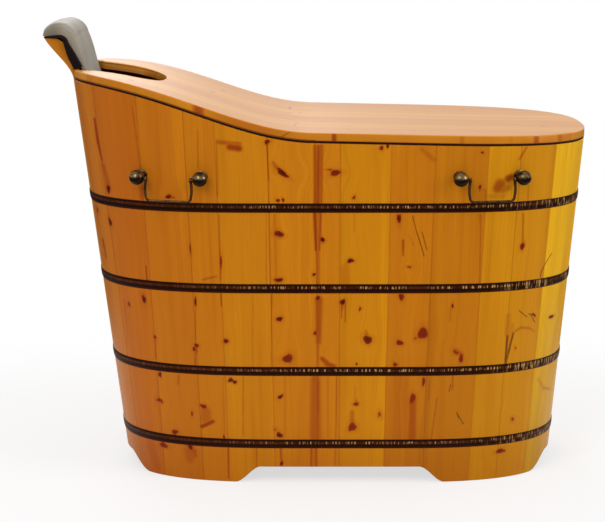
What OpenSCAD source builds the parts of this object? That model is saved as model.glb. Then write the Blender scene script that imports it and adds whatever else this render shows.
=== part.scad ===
// Wooden soaking tub: staves in four metal hoops on four cut feet, with a raised back and its
// neck pillow, a curved lift-off lid with a neck opening, a seat, a drain and four drop handles.
// Millimetres, +Z up, head end towards -X. The tub's right side is towards -Y.

/* [Shell] */
// Length over the staves at the ground
floor_len = 902; // [820:1:1100]
// Width over the staves at the ground
floor_w = 510; // [460:1:620]
// How far the head end leans out, per metre of height
head_lean = 125; // [80:1:160]
// How far the foot end leans out, per metre of height
foot_lean = 86; // [50:1:130]
// How far each side leans out, per metre of height
side_lean = 79; // [40:1:110]
// Length of the rounded part at the head end
head_round = 370; // [320:1:390]
// Length of the rounded part at the foot end
foot_round = 360; // [320:1:390]
// Squareness of the rounded ends, where 2 is an ellipse
squareness = 2.8; // [2.2:0.1:3.2]
// How far the joints on the sides fan out, per metre of height, a metre from the tub's middle
joint_fan = 140; // [80:5:180]
// Thickness of the staves
stave_t = 23; // [20:1:28]

/* [Rim] */
// Height of the rim at the tub's middle
rim_h = 706; // [660:1:760]
// Fall of the rim towards the foot end, per metre
rim_fall = 21; // [0:1:40]
// How much higher the rim is at the head end
rim_rise = 100; // [60:1:120]
// Where the rise ends, behind the tub's middle
rise_end = 585; // [570:1:620]
// Where the rise begins, behind the tub's middle
rise_start = 56; // [20:1:120]
// How late the rise comes, where 1 is even
rise_bias = 1.2; // [1:0.1:1.4]

/* [Raised back] */
// Width of the raised back
back_w = 264; // [240:1:300]
// Height of the raised back above the ground
back_h = 900; // [880:1:930]
// Height at which its outer face begins to flare
flare_from = 815; // [800:1:830]
// Height at which the flare would end
flare_to = 917; // [900:1:940]
// How far its outer face flares back
back_flare = 52; // [30:1:60]
// Height at which its inner face begins to lean back
neck_from = 790; // [770:1:800]
// How far its inner face leans back at the top
neck_lean = 40; // [25:1:45]
// Radius of the inner top edge
back_edge_r = 12; // [6:1:14]

/* [Feet] */
// Height of the arches between the feet
arch_h = 34; // [20:1:42]
// Span of each side arch at the ground
side_span = 430; // [340:1:500]
// Span of each end arch at the ground
end_span = 356; // [280:1:380]
// Length of the slope at each end of an arch
arch_slope = 54; // [40:1:80]

/* [Floor] */
// Height of the floor's underside
floor_z = 60; // [54:1:80]
// Thickness of the floor boards
floor_t = 22; // [18:1:26]
// Depth of the groove that holds the floor
croze_d = 6; // [4:1:9]
// Number of floor boards
floor_count = 5; // [4:1:7]
// Width of the battens under the floor
batten_w = 45; // [35:1:60]
// Depth of the battens under the floor
batten_t = 20; // [14:1:22]
// Distance of each batten from the tub's middle
batten_x = 190; // [150:1:215]

/* [Hoops] */
// Height of the bottom hoop's middle
hoop_z1 = 84; // [80:1:110]
// Height of the lower hoop's middle
hoop_z2 = 239; // [200:1:280]
// Height of the upper hoop's middle
hoop_z3 = 412; // [370:1:450]
// Height of the top hoop's middle
hoop_z4 = 577; // [540:1:600]
// Width of the hoops' steel band
hoop_w = 19; // [12:1:25]
// Thickness of the band
hoop_t = 1.6; // [1:0.1:3]
// Length of the riveted lap on the left side
lap_len = 60; // [45:1:90]
// Diameter of a rivet's head
rivet_d = 8; // [6:0.5:9]

/* [Lid] */
// Thickness of the lid boards
lid_t = 16; // [14:1:22]
// Thickness of the black seal under the lid
seal_t = 4; // [3:0.5:6]
// Width of the seal
seal_w = 10; // [6:1:14]
// Number of boards across the lid
lid_count = 6; // [5:1:8]
// Where the glued joint of the lid shows on top, behind the tub's middle
joint_x = 99; // [60:1:140]
// How far the joint slopes from the lid's top to its underside
joint_slope = 22; // [10:1:30]
// Width of the neck opening
neck_w = 240; // [236:1:248]
// Where the neck opening ends, behind the tub's middle
neck_end = 365; // [340:1:380]
// Length of its round end
neck_round = 75; // [50:1:100]
// Width of the lid's battens
lid_batten_w = 38; // [30:1:50]
// Depth of the lid's battens
lid_batten_t = 18; // [14:1:24]

/* [Seat] */
// Height of the seat's top
seat_h = 205; // [190:1:225]
// Thickness of the seat boards
seat_t = 20; // [16:1:24]
// Where the seat's front edge lies, behind the tub's middle
seat_front = 170; // [140:1:185]
// Number of seat boards
seat_count = 3; // [2:1:4]
// Thickness of the cleats that carry the seat
cleat_t = 26; // [24:1:34]
// Height of the cleats
cleat_h = 36; // [28:1:45]

/* [Drain] */
// Distance of the drain from the floor's foot end
drain_in = 161; // [145:1:190]
// Outer diameter of the drain's tail pipe
tail_d = 40; // [36:1:44]
// Wall of the tail pipe
tail_wall = 3; // [2:0.5:4]
// Height of the tail pipe's lower end
tail_low = 12; // [8:1:18]
// Diameter of the drain's flange
flange_d = 72; // [66:1:80]
// Thickness of the flange
flange_t = 3; // [2:0.5:4]
// Lift of the drain plug
plug_lift = 9; // [6:1:12]

/* [Handles] */
// Height of the handle balls between the top hoop and the rim, as a share of that distance
ball_share = 0.4806; // [0.4:0.0001:0.6]
// Where the head handles' middles lie, as a share of the way round from the head to the foot
head_handle_at = 0.2594; // [0.25:0.0001:0.27]
// Where the foot handles' middles lie, as a share of the same way
foot_handle_at = 0.7171; // [0.71:0.0001:0.73]
// Distance between the two balls of a handle
ball_gap = 120; // [105:1:135]
// Diameter of the balls
ball_d = 30; // [26:1:32]
// Distance of the balls' centres from the staves
ball_out = 20; // [18:1:26]
// Diameter of the bails' rod
bail_d = 5.6; // [4:0.2:7]
// Drop from the hinge to the bail's grip
bail_drop = 43; // [36:1:44]
// How far the hinge lies below the balls' centres
hinge_low = 3; // [0:0.5:5]
// Diameter of the posts' studs
stud_d = 6; // [5:1:8]

/* [Pillow] */
// Width of the pillow
pillow_w = 228; // [200:1:230]
// Thickness of the pillow's black backing
backing_t = 6; // [4:0.5:8]
// Thickness of the pillow at the lower part of its side edges
pillow_edge = 9; // [7:1:16]
// Thickness of the pillow at the middle of its front
pillow_crown = 25; // [18:1:30]
// Thickness of the pillow over the top of the raised back
pillow_top = 22; // [16:1:28]
// Distance from the raised back's top down to the pillow's lower end
pillow_drop = 148; // [130:1:160]

/* [Hidden] */
// Widths of the staves on each side, from the raised back to half the foot stave, as shares
stave_shares = [77, 88, 91, 57, 101, 87, 46, 95, 83, 100, 64, 79, 96, 98, 40];
side_count = len(stave_shares);
wood = "#c87a1e";
pale_wood = "#e2b98c";
bronze = "#4a3a28";
black = "#201a18";
$fn = 48;
tiny = 0.1; // gap between fixed pieces that follow a curve
clear = 0.3; // gap between pieces of different bodies
eps = 0.01;

// Outline of the tub
function smooth(t) = let (u = max(0, min(1, t))) u * u * (3 - 2 * u);
function mix(a, b, t) = a + (b - a) * t;
function flare(z) = back_flare * smooth((z - flare_from) / (flare_to - flare_from));
function neck(z) = neck_lean * pow(max(0, z - neck_from) / (back_h - neck_from), 1.5);
nose = 2; // how far the pillow's end stands past the raised back
head_reach = floor_len / 2 + head_lean * back_h / 1000 + flare(back_h) + nose;
ball_z = hoop_z4 + ball_share * (rim_h - hoop_z4); // height of the balls' centres
foot_reach = floor_len / 2 + foot_lean * (rim_h - rim_fall * floor_len / 2000) / 1000;
mid = (head_reach - foot_reach) / 2; // the tub's middle, from the middle of its whole length

function head_x(z) = mid - floor_len / 2 - head_lean * z / 1000;
function foot_x(z) = mid + floor_len / 2 + foot_lean * z / 1000;
function half_w(z) = floor_w / 2 + side_lean * z / 1000;
power = 2 / squareness;
// A point of the right half of the outline at height z: the head end is p = 0 to 1, the straight
// side 1 to 2 and the foot end 2 to 3, and y is taken as positive
function path(p, z) =
    p <= 1 ? [head_x(z) + head_round * (1 - pow(cos(90 * p), power)), half_w(z) * pow(sin(90 * p), power)]
    : p < 2 ? [mix(head_x(z) + head_round, foot_x(z) - foot_round, p - 1), half_w(z)]
    : [foot_x(z) - foot_round * (1 - pow(cos(90 * (3 - p)), power)), half_w(z) * pow(sin(90 * (3 - p)), power)];
// The outward direction there
function unit(v) = v / norm(v);
function outward(p, z) =
    let (q = power * (squareness - 1))
    p <= 1 ? unit([-pow(cos(90 * p), q) / head_round, pow(sin(90 * p), q) / half_w(z)])
    : p < 2 ? [0, 1]
    : unit([pow(cos(90 * (3 - p)), q) / foot_round, pow(sin(90 * (3 - p)), q) / half_w(z)]);

// Distances round the outline, measured at this height
span_z = 330;
steps = 180;
path_points = [for (i = [0 : steps]) path(3 * i / steps, span_z)];
spans = [for (i = 0, s = 0; i <= steps; s = s + (i < steps ? norm(path_points[i + 1] - path_points[i]) : 0),
    i = i + 1) s];
by_p = [for (i = [0 : steps]) [3 * i / steps, spans[i]]];
by_span = [for (i = [0 : steps]) [spans[i], 3 * i / steps]];
half_round = spans[steps];
function fold(s) = s < 0 ? -s : s > half_round ? 2 * half_round - s : s;
function side_of(s) = s < 0 || s > half_round ? 1 : -1;
// Where the outline at height z has this x, or this y at one end
function p_at_x(x, z) =
    x < head_x(z) + head_round ? acos(pow((head_x(z) + head_round - x) / head_round, squareness / 2)) / 90
    : x < foot_x(z) - foot_round ? 1 + (x - head_x(z) - head_round) / (foot_x(z) - foot_round - head_x(z) - head_round)
    : 3 - acos(pow((x - foot_x(z) + foot_round) / foot_round, squareness / 2)) / 90;
function p_at_y(y, z, foot = false) =
    let (p = asin(pow(y / half_w(z), squareness / 2)) / 90) foot ? 3 - p : p;
// A joint leans straight out of the outline as it rises, and on the sides it also fans out
function p_of(s, z) =
    let (p0 = lookup(fold(s), by_span), c = path(p0, span_z), n = outward(p0, span_z),
        lean = (path(p0, span_z + 1) - c) * n, rise = z - span_z, from_mid = c.x - mid,
        slide = sign(from_mid) * max(lean * abs(n.x), joint_fan * abs(from_mid) / 1000000))
    n.y > abs(n.x) ? p_at_x(c.x + slide * rise, z) : p_at_y(c.y + lean * n.y * rise, z, p0 > 1.5);
// A point of the shell: s is the distance from the head's middle, off is how far inside.
// Every joint is a straight line from the ground to the height of the highest rim.
top_z = rim_h + rim_rise;
function shell(s, z, off) =
    let (a = p_of(s, 0), b = p_of(s, top_z), t = z / top_z, c = mix(path(a, 0), path(b, top_z), t),
        n = unit(mix(outward(a, 0), outward(b, top_z), t)))
    [c.x - off * n.x, side_of(s) * (c.y - off * n.y), z];
// The distance s at which the shell has this x at height z, found step by step from a guess
function s_at_x(x, z, s, tries = 8) =
    tries == 0 ? s : s_at_x(x, z, s + x - shell(s, z, 0).x, tries - 1);

// Rim and arches
function rise_share(x) =
    pow(max(0, min(1, (x - mid + rise_end) / (rise_end - rise_start))), rise_bias);
function rim(x) = rim_h - rim_fall * (x - mid) / 1000 + rim_rise * (1 + cos(180 * rise_share(x))) / 2;
function rim_at(s, off) =
    let (a = rim(shell(s, rim_h, off).x), b = rim(shell(s, a, off).x)) rim(shell(s, b, off).x);
function arch(s, off) =
    let (q = shell(s, 0, off), a = (side_span / 2 - abs(q.x - mid)) / arch_slope,
        b = (end_span / 2 - abs(q.y)) / arch_slope)
    arch_h * max(smooth(a), smooth(b));

// Joints between the staves
// The distance s at which the raised back is y wide, found step by step
function s_at_y(y, s, tries = 6) = tries == 0 ? s : s_at_y(y, s * y / -shell(s, flare_from, 0).y, tries - 1);
back_s = s_at_y(back_w / 2, back_w / 2);
back_mid_s = s_at_y(back_w / 6, back_w / 6);
function sum_to(list, n) = n <= 0 ? 0 : list[n - 1] + sum_to(list, n - 1);
share_total = sum_to(stave_shares, side_count);
// The first two staves beside the head stave finish the raised back, so joint 1 is the back's edge
joints = concat([back_mid_s, back_s], [for (i = [1 : side_count - 1])
    mix(back_s, half_round, sum_to(stave_shares, i) / share_total)]);
cuts = 4; // pieces that each stave's curve is drawn in
function between(a, b) = [for (j = [0 : cuts]) mix(a, b, j / cuts)];
function one_round() =
    let (right = concat([-joints[0], joints[0]], [for (i = [1 : side_count]) joints[i]]),
        all = concat(right, [for (i = [side_count : -1 : 1]) 2 * half_round - joints[i]]),
        n = len(all))
    [for (i = [0 : n - 1]) let (a = all[i], b = i == n - 1 ? 2 * half_round - joints[0] : all[i + 1])
        for (j = [0 : cuts - 1]) mix(a, b, j / cuts)];
round_s = one_round();
function ring_at(z, off) = [for (s = round_s) let (q = shell(s, z, off)) [q.x, q.y]];

// A solid through columns of points: each column is [outer points, inner points], from the bottom up
module wrap(columns, closed = false) {
    n = len(columns);
    r = len(columns[0][0]);
    points = [for (c = columns) for (k = [0, 1]) each c[k]];
    function at(j, k, i) = ((j % n) * 2 + k) * r + i;
    last = closed ? n - 1 : n - 2;
    faces = concat(
        [for (j = [0 : last]) for (i = [0 : r - 2]) each [
            [at(j, 0, i), at(j, 0, i + 1), at(j + 1, 0, i + 1)],
            [at(j, 0, i), at(j + 1, 0, i + 1), at(j + 1, 0, i)],
            [at(j, 1, i), at(j + 1, 1, i + 1), at(j, 1, i + 1)],
            [at(j, 1, i), at(j + 1, 1, i), at(j + 1, 1, i + 1)]]],
        [for (j = [0 : last]) each [
            [at(j, 0, r - 1), at(j, 1, r - 1), at(j + 1, 1, r - 1)],
            [at(j, 0, r - 1), at(j + 1, 1, r - 1), at(j + 1, 0, r - 1)],
            [at(j, 0, 0), at(j + 1, 1, 0), at(j, 1, 0)],
            [at(j, 0, 0), at(j + 1, 0, 0), at(j + 1, 1, 0)]]],
        closed ? [] : [for (i = [0 : r - 2]) each [
            [at(0, 1, i), at(0, 1, i + 1), at(0, 0, i + 1)],
            [at(0, 1, i), at(0, 0, i + 1), at(0, 0, i)],
            [at(n - 1, 1, i), at(n - 1, 0, i + 1), at(n - 1, 1, i + 1)],
            [at(n - 1, 1, i), at(n - 1, 0, i), at(n - 1, 0, i + 1)]]]
    );
    polyhedron(points, faces);
}

// Staves
groove_slack = 0.2;
groove_slope = 1;
// Inner depth and height of the rows from the foot to above the floor's groove
function low_rows() = [
    [stave_t, floor_z - groove_slack - groove_slope],
    [stave_t - croze_d, floor_z - groove_slack],
    [stave_t - croze_d, floor_z + floor_t + groove_slack],
    [stave_t, floor_z + floor_t + groove_slack + groove_slope]];
// The staves also have a row of points under the middle of each hoop above the floor
hoop_rows = [hoop_z2, hoop_z3, hoop_z4];
// Above the rim the raised back keeps its width and only leans back
function wall_x(y, z) = head_x(z)
    + head_round * (1 - pow(1 - pow(abs(y) / half_w(z), squareness), 1 / squareness));
function back_point(s, z, off, shift) =
    let (low = min(z, flare_from), o = shell(s, low, 0), q = shell(s, low, off))
    [q.x + wall_x(o.y, z) - wall_x(o.y, low) - shift, q.y, z];
function stave_column(s, tall) =
    let (rows = low_rows(), z0 = neck_from,
        steps_up = 8,
        high = [for (i = [0 : steps_up]) mix(z0, back_h - back_edge_r, i / steps_up)],
        edge = [for (a = [30, 60, 90]) [back_edge_r * (1 - cos(a)), back_h - back_edge_r * (1 - sin(a))]])
    [concat([shell(s, arch(s, 0), 0)], [for (q = rows) shell(s, q[1], 0)], [for (z = hoop_rows) shell(s, z, 0)],
        tall ? concat([for (z = high) back_point(s, z, 0, flare(z))],
            [for (q = edge) back_point(s, q[1], 0, flare(q[1]))])
        : [shell(s, rim_at(s, 0), 0)]),
    concat([shell(s, arch(s, stave_t), stave_t)], [for (q = rows) shell(s, q[1], q[0])],
        [for (z = hoop_rows) shell(s, z, stave_t)],
        tall ? concat([for (z = high) back_point(s, z, stave_t, neck(z))],
            [for (q = edge) back_point(s, q[1], stave_t, neck(q[1]) + q[0])])
        : [shell(s, rim_at(s, stave_t), stave_t)])];
module stave(a, b, tall = false) {
    color(wood) difference() {
        wrap([for (s = between(a, b)) stave_column(s, tall)]);
        for (h = handles) for (post = h) {
            at_s = post[0];
            if (at_s > a - ball_d && at_s < b + ball_d)
                stud_line(post, stud_d / 2 + 0.2, -stave_t - ball_d, ball_d / 2);
        }
    }
}
tall_gap = 0.05; // between the raised back's edge staves and their neighbours
module right_stave(i) stave(joints[i - 1], joints[i] - (i == 1 ? tall_gap : 0), i == 1);
module left_stave(i) stave(-joints[i] + (i == 1 ? tall_gap : 0), -joints[i - 1], i == 1);
module head_stave() stave(-joints[0], joints[0], true);
module foot_stave() stave(joints[side_count], 2 * half_round - joints[side_count]);

// Hoops: a closed band, twice as thick where its ends lap on the left side
lap_s = -lookup(1.5, by_p);
function lap_share(s) = abs(s > half_round ? s - 2 * half_round - lap_s : s - lap_s) < lap_len / 2 ? 1 : 0;
lap_points = [for (d = [-lap_len / 2 - eps, -lap_len / 2 + eps, lap_len / 2 - eps, lap_len / 2 + eps])
    2 * half_round + lap_s + d];
function in_order(list) = len(list) <= 1 ? list
    : let (pivot = list[floor(len(list) / 2)])
    concat(in_order([for (v = list) if (v < pivot) v]), [for (v = list) if (v == pivot) v],
        in_order([for (v = list) if (v > pivot) v]));
hoop_s = in_order(concat(round_s, lap_points));
module hoop(z) {
    low = z - hoop_w / 2;
    high = z + hoop_w / 2;
    color(black) difference() {
        wrap([for (s = hoop_s) let (out = -tiny - hoop_t * (1 + lap_share(s)))
            [[shell(s, low, out), shell(s, high, out)], [shell(s, low, -tiny), shell(s, high, -tiny)]]], true);
        rivets_at(z, 0.05);
    }
}
rivet_gap = lap_len / 2;
module rivets_at(z, slack) {
    wall = half_w(z) + tiny;
    x = shell(lap_s, z, 0).x;
    tilt = atan(side_lean / 1000);
    for (side = [-1, 1])
        translate([x + side * rivet_gap / 2, wall, z]) rotate([-90 - tilt, 0, 0]) {
            translate([0, 0, 0.2]) cylinder(r = rivet_d / 4 + slack, h = 2 * hoop_t + rivet_d / 8);
            if (slack == 0) translate([0, 0, 2 * hoop_t + 0.2]) cylinder(r1 = rivet_d / 2, r2 = rivet_d / 3,
                h = rivet_d / 4);
        }
}
module bottom_hoop() hoop(hoop_z1);
module lower_hoop() hoop(hoop_z2);
module upper_hoop() hoop(hoop_z3);
module top_hoop() hoop(hoop_z4);
module hoop_rivets() color(bronze) for (z = [hoop_z1, hoop_z2, hoop_z3, hoop_z4]) rivets_at(z, 0);

// Floor
tongue = 5;
floor_half = half_w(floor_z) - stave_t + croze_d - clear;
floor_step = 2 * floor_half / floor_count;
function floor_y(i) = -floor_half + i * floor_step;
screw_d = 4;
head_d = 8;
head_h = 2.4;
// A countersunk screw with its head down at z, or the hole for it
module screw(at, z, length, slack = 0) {
    translate([at.x, at.y, z]) {
        cylinder(r1 = head_d / 2 + slack, r2 = screw_d / 2 + slack, h = head_h);
        cylinder(r = screw_d / 2 + slack, h = length + slack);
    }
}
module across_x(w, y0, y1, z0, z1) translate([-w, y0, z0]) cube([2 * w, y1 - y0, z1 - z0]);
module floor_board(i) {
    last = i == floor_count - 1;
    reach = head_reach;
    difference() {
        intersection() {
            translate([0, 0, floor_z]) linear_extrude(floor_t)
                polygon(ring_at(floor_z, stave_t - croze_d + clear));
            union() {
                across_x(reach, floor_y(i) - (i == 0 ? 2 : 0), floor_y(i + 1) - (last ? -2 : tiny), 0, rim_h);
                if (!last) across_x(reach, floor_y(i + 1) - 1, floor_y(i + 1) + tongue,
                    floor_z + floor_t / 3, floor_z + 2 * floor_t / 3);
            }
        }
        if (i > 0) across_x(reach + 1, floor_y(i) - 1, floor_y(i) + tongue + tiny,
            floor_z + floor_t / 3 - tiny, floor_z + 2 * floor_t / 3 + tiny);
        drain_hole();
        for (at = floor_screw_places) screw(at, floor_z - batten_t, batten_t + floor_t / 2, 0.05);
    }
}
floor_screw_places = [for (side = [-1, 1]) for (i = [0 : floor_count - 1])
    [mid + side * batten_x, floor_y(i + 0.5)]];
module floor_boards() color(wood) for (i = [0 : floor_count - 1]) floor_board(i);
module floor_battens() color(wood) difference() {
    intersection() {
        translate([0, 0, floor_z - batten_t]) linear_extrude(batten_t)
            polygon(ring_at(floor_z - batten_t, stave_t + clear));
        for (side = [-1, 1])
            translate([mid + side * batten_x - batten_w / 2, -floor_w, 0]) cube([batten_w, 2 * floor_w, floor_z]);
    }
    for (at = floor_screw_places) screw(at, floor_z - batten_t, batten_t + 1, 0.05);
}
module floor_screws() color("silver")
    for (at = floor_screw_places) screw(at, floor_z - batten_t, batten_t + floor_t / 2 - 1);

// Drain
floor_top = floor_z + floor_t;
washer_t = 3;
nut_t = 9;
nut_af = 54;
stem_d = 8;
spider_t = 3;
spider_z = floor_top - 14;
drain_x = mid + floor_len / 2 - drain_in;
module at_drain(z) translate([drain_x, 0, z]) children();
thread_d = tail_d + 2;
thread_low = floor_z - washer_t - nut_t - 0.5;
module drain_hole() at_drain(floor_z - 1) cylinder(d = thread_d + 2 * clear, h = floor_t + 2);
module drain_flange() color("silver") at_drain(0) {
    rotate_extrude() polygon([[tail_d / 2 - tail_wall, tail_low], [tail_d / 2, tail_low],
        [tail_d / 2, thread_low], [thread_d / 2, thread_low], [thread_d / 2, floor_top + eps], [flange_d / 2, floor_top + eps], [flange_d / 2, floor_top + flange_t / 2],
        [flange_d / 2 - flange_t / 2, floor_top + flange_t], [tail_d / 2 - tail_wall, floor_top + flange_t]]);
    difference() {
        union() {
            translate([0, 0, spider_z]) cylinder(d = stem_d + 5, h = spider_t + 4);
            for (a = [0, 60, 120]) rotate(a)
                translate([-tail_d / 2 + tail_wall / 2, -1.2, spider_z]) cube([tail_d - tail_wall, 2.4, spider_t]);
        }
        translate([0, 0, spider_z - 1]) cylinder(d = stem_d + 0.1, h = spider_t + 6);
    }
}
module drain_washer() color(black) at_drain(floor_z - washer_t) difference() {
    cylinder(d = nut_af - 2, h = washer_t - eps);
    translate([0, 0, -1]) cylinder(d = thread_d + 0.2, h = washer_t + 2);
}
module drain_nut() color("silver") at_drain(floor_z - washer_t - nut_t) difference() {
    cylinder(d = nut_af / cos(30), h = nut_t - eps, $fn = 6);
    translate([0, 0, -1]) cylinder(d = thread_d + 0.1, h = nut_t + 2);
}
plug_d = tail_d + 2;
stem_len = plug_lift + 15; // the stem stays in the tail pipe when the plug is up
module drain_plug() color(bronze) at_drain(floor_top + flange_t + 0.05) {
    rotate_extrude() polygon([[0, 0], [plug_d / 2, 0], [plug_d / 2, 2], [plug_d / 2 - 3, 5], [0, 6.5]]);
    translate([0, 0, -stem_len]) cylinder(d = stem_d, h = stem_len + 1);
}

// Seat
seat_low = seat_h - seat_t;
cleat_low = seat_low - cleat_h;
cleat_len = 0.222 * floor_len;
cleat_in = 9.5; // from the seat's front to the cleats' ends
module seat_boards() color(wood) {
    back = head_x(seat_low) + stave_t;
    step = (mid - seat_front - back) / seat_count;
    for (i = [0 : seat_count - 1]) intersection() {
        translate([0, 0, seat_low + eps]) linear_extrude(seat_t) polygon(ring_at(seat_low, stave_t + 2 * clear));
        translate([back + i * step + (i == 0 ? -1 : 3), -floor_w, 0])
            cube([step - (i == 0 ? -1 : 3), 2 * floor_w, rim_h]);
    }
}
module seat_cleats() color(wood) intersection() {
    translate([0, 0, cleat_low]) linear_extrude(cleat_h) difference() {
        polygon(ring_at(cleat_low, stave_t + tiny));
        polygon(ring_at(cleat_low, stave_t + cleat_t));
    }
    for (side = [-1, 1]) {
        y0 = half_w(cleat_low) - head_round / 2;
        translate([mid - seat_front - cleat_in - cleat_len, side > 0 ? y0 : -y0 - floor_w, 0])
            cube([cleat_len, floor_w, rim_h]);
    }
}

// Lid: its boards run lengthwise and follow the rim's curve
function lid_low(x) = rim(x) + clear + seal_t;
function lid_top(x) = lid_low(x) + lid_t * norm([1, (rim(x + 1) - rim(x - 1)) / 2]);
lid_step = 26;
lid_ends = [mid - head_reach, mid + foot_reach + 10];
lid_joint = [mid - joint_x, mid - joint_x - joint_slope];
function lid_xs(a, b) = let (n = ceil((b - a) / lid_step)) [for (i = [0 : n]) mix(a, b, i / n)];
function lid_profile(top_a, top_b, low_a, low_b) = concat(
    [for (x = lid_xs(top_a, top_b)) [x, lid_top(x)]],
    [let (xs = lid_xs(low_a, low_b)) for (i = [len(xs) - 1 : -1 : 0]) [xs[i], lid_low(xs[i])]]);
lid_outline = [for (s = round_s) let (q = shell(s, rim_at(s, 0) + lid_t / 2, 0)) [q.x, q.y]];
neck_points = concat([[mid - head_reach, -neck_w / 2]],
    [for (a = [-90 : 7.5 : 90]) [mid - neck_end - neck_round * (1 - pow(cos(a), 0.8)),
        neck_w / 2 * sign(a) * pow(abs(sin(a)), 0.8)]],
    [[mid - head_reach, neck_w / 2]]);
back_gap = 2;
lid_board_w = 2 * half_w(rim_h + rim_rise) / lid_count;
lid_batten_places = [mid - 0.366 * floor_len, mid - joint_x - joint_slope / 2, mid + 0.133 * floor_len,
    mid + 0.421 * floor_len];
lid_screw_places = [for (x = lid_batten_places) for (i = [0 : lid_count - 1])
    let (y = (i + 0.5 - lid_count / 2) * lid_board_w * 0.86) [x, y]];
module along_y(w) rotate([90, 0, 0]) linear_extrude(2 * w, center = true) children();
module lid_boards(profile) color(pale_wood) for (i = [0 : lid_count - 1]) difference() {
    intersection() {
        along_y(floor_w) polygon(profile);
        linear_extrude(back_h + lid_t) difference() {
            polygon(lid_outline);
            polygon(neck_points);
            translate([mid - head_reach - 1, -back_w / 2 - back_gap])
                square([head_reach - floor_len / 2 - head_lean * rim_h / 1000 + stave_t + 8, back_w + 2 * back_gap]);
        }
        across_x(head_reach + 10, (i - lid_count / 2) * lid_board_w, (i + 1 - lid_count / 2) * lid_board_w - tiny,
            0, back_h + lid_t);
    }
    for (at = lid_screw_places) screw(at, lid_low(at.x) - lid_batten_t, lid_batten_t + lid_t / 2, 0.05);
}
module lid_head_boards() lid_boards(lid_profile(lid_ends[0], lid_joint[0], lid_ends[0], lid_joint[1]));
module lid_foot_boards() lid_boards(lid_profile(lid_joint[0], lid_ends[1], lid_joint[1], lid_ends[1]));
module lid_batten(x) {
    a = x - lid_batten_w / 2;
    b = x + lid_batten_w / 2;
    xs = [for (i = [0 : 4]) mix(a, b, i / 4)];
    along_y(floor_w) polygon(concat([[a, lid_low(x) - lid_batten_t], [b, lid_low(x) - lid_batten_t]],
        [for (i = [4 : -1 : 0]) [xs[i], lid_low(xs[i]) - tiny]]));
}
module lid_battens() color(pale_wood) difference() {
    intersection() {
        for (x = lid_batten_places) lid_batten(x);
        linear_extrude(back_h) polygon(ring_at(rim_h - 2 * lid_batten_t, stave_t + 4));
    }
    for (at = lid_screw_places) screw(at, lid_low(at.x) - lid_batten_t, lid_batten_t + 1, 0.05);
}
module lid_screws() color("silver")
    for (at = lid_screw_places) screw(at, lid_low(at.x) - lid_batten_t, lid_batten_t + lid_t / 2 - 1);
seal_in = 1.5; // how far the seal lies inside the staves' outer face
module lid_seal() color(black) {
    end_s = joints[1] + 2 * back_gap;
    run = concat([end_s], [for (s = round_s) if (s > end_s + 1 && s < 2 * half_round - end_s - 1) s],
        [2 * half_round - end_s]);
    wrap([for (s = run) let (a = rim_at(s, seal_in), b = rim_at(s, seal_in + seal_w),
        qa = shell(s, a, seal_in), qb = shell(s, b, seal_in + seal_w))
        [[qa + [0, 0, clear], qa + [0, 0, clear + seal_t - tiny]],
        [qb + [0, 0, clear], qb + [0, 0, clear + seal_t - tiny]]]]);
}

// Handles: each post is [distance round the shell, point on the staves, outward direction]
function post_at(x, side) =
    let (s = s_at_x(x, ball_z, lookup(p_at_x(x, ball_z), by_p)), c = shell(s, ball_z, 0),
        n = c - shell(s, ball_z, 1), up = shell(s, ball_z + 1, 0) - c, out = unit([n.x, n.y, -up * n]))
    [-side * s, [c.x, -side * c.y, c.z], [out.x, -side * out.y, out.z]];
function handle_at(x, side) = [post_at(x - ball_gap / 2, side), post_at(x + ball_gap / 2, side)];
handles = [for (side = [-1, 1]) for (share = [head_handle_at, foot_handle_at])
    handle_at(shell(share * half_round, ball_z, 0).x, side)];
function ball_centre(post) = post[1] + ball_out * post[2];
module aim(at, dir) translate(at) rotate([0, acos(dir.z), atan2(dir.y, dir.x)]) children();
module stud_line(post, r, from, to) aim(post[1], post[2]) translate([0, 0, from]) cylinder(r = r, h = to - from);
plate_t = 2.5;
plate_d = ball_d * 0.86;
post_seat = 0.4; // gap that lets a flat plate sit on the curved staves
nut_out = stave_t + 2;
pin_in = 6;
hinge_clear = 0.06; // running clearance of the bails' pins in the balls
// The level line between a handle's balls on which its bail hangs
function hinge_ends(h) =
    let (a = ball_centre(h[0]), b = ball_centre(h[1]), z = (a.z + b.z) / 2 - hinge_low)
    [[a.x, a.y, z], [b.x, b.y, z]];
module hinge_line(h, r, inset) {
    ends = hinge_ends(h);
    along = unit(ends[1] - ends[0]);
    aim(ends[0] + (ball_d / 2 - pin_in - inset) * along, along)
        cylinder(r = r, h = norm(ends[1] - ends[0]) - 2 * (ball_d / 2 - pin_in - inset));
}
module handle_posts() color(bronze) for (h = handles) difference() {
    for (post = h) {
        translate(ball_centre(post)) rotate(atan2(post[2].y, post[2].x)) sphere(d = ball_d);
        stud_line(post, ball_d * 0.19, post_seat + plate_t, ball_out);
        stud_line(post, stud_d / 2, -stave_t - 9, ball_out);
    }
    hinge_line(h, bail_d / 2 + hinge_clear, 1);
}
module handle_plates() color(bronze) for (h = handles) for (post = h) difference() {
    aim(post[1] + post_seat * post[2], post[2]) rotate_extrude()
        polygon([[0, 0], [plate_d / 2, 0], [plate_d / 2, 1], [plate_d / 3, plate_t - eps], [0, plate_t - eps]]);
    stud_line(post, stud_d / 2 + 0.05, -1, ball_out);
}
module handle_nuts() color("silver") for (h = handles) for (post = h) difference() {
    union() {
        stud_line(post, stud_d * 1.3, -nut_out - 1, -nut_out + 1);
        aim(post[1] - (nut_out + 5) * post[2], post[2]) cylinder(r = stud_d * 0.95, h = 5, $fn = 6);
        translate(post[1] - (nut_out + 5) * post[2]) sphere(r = stud_d * 0.8);
    }
    stud_line(post, stud_d / 2 + 0.05, -stave_t - 9.1, 0);
}
leg_in = 3.6; // gap between a ball and the bail's leg, to the leg's middle
bend = 8;
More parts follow.
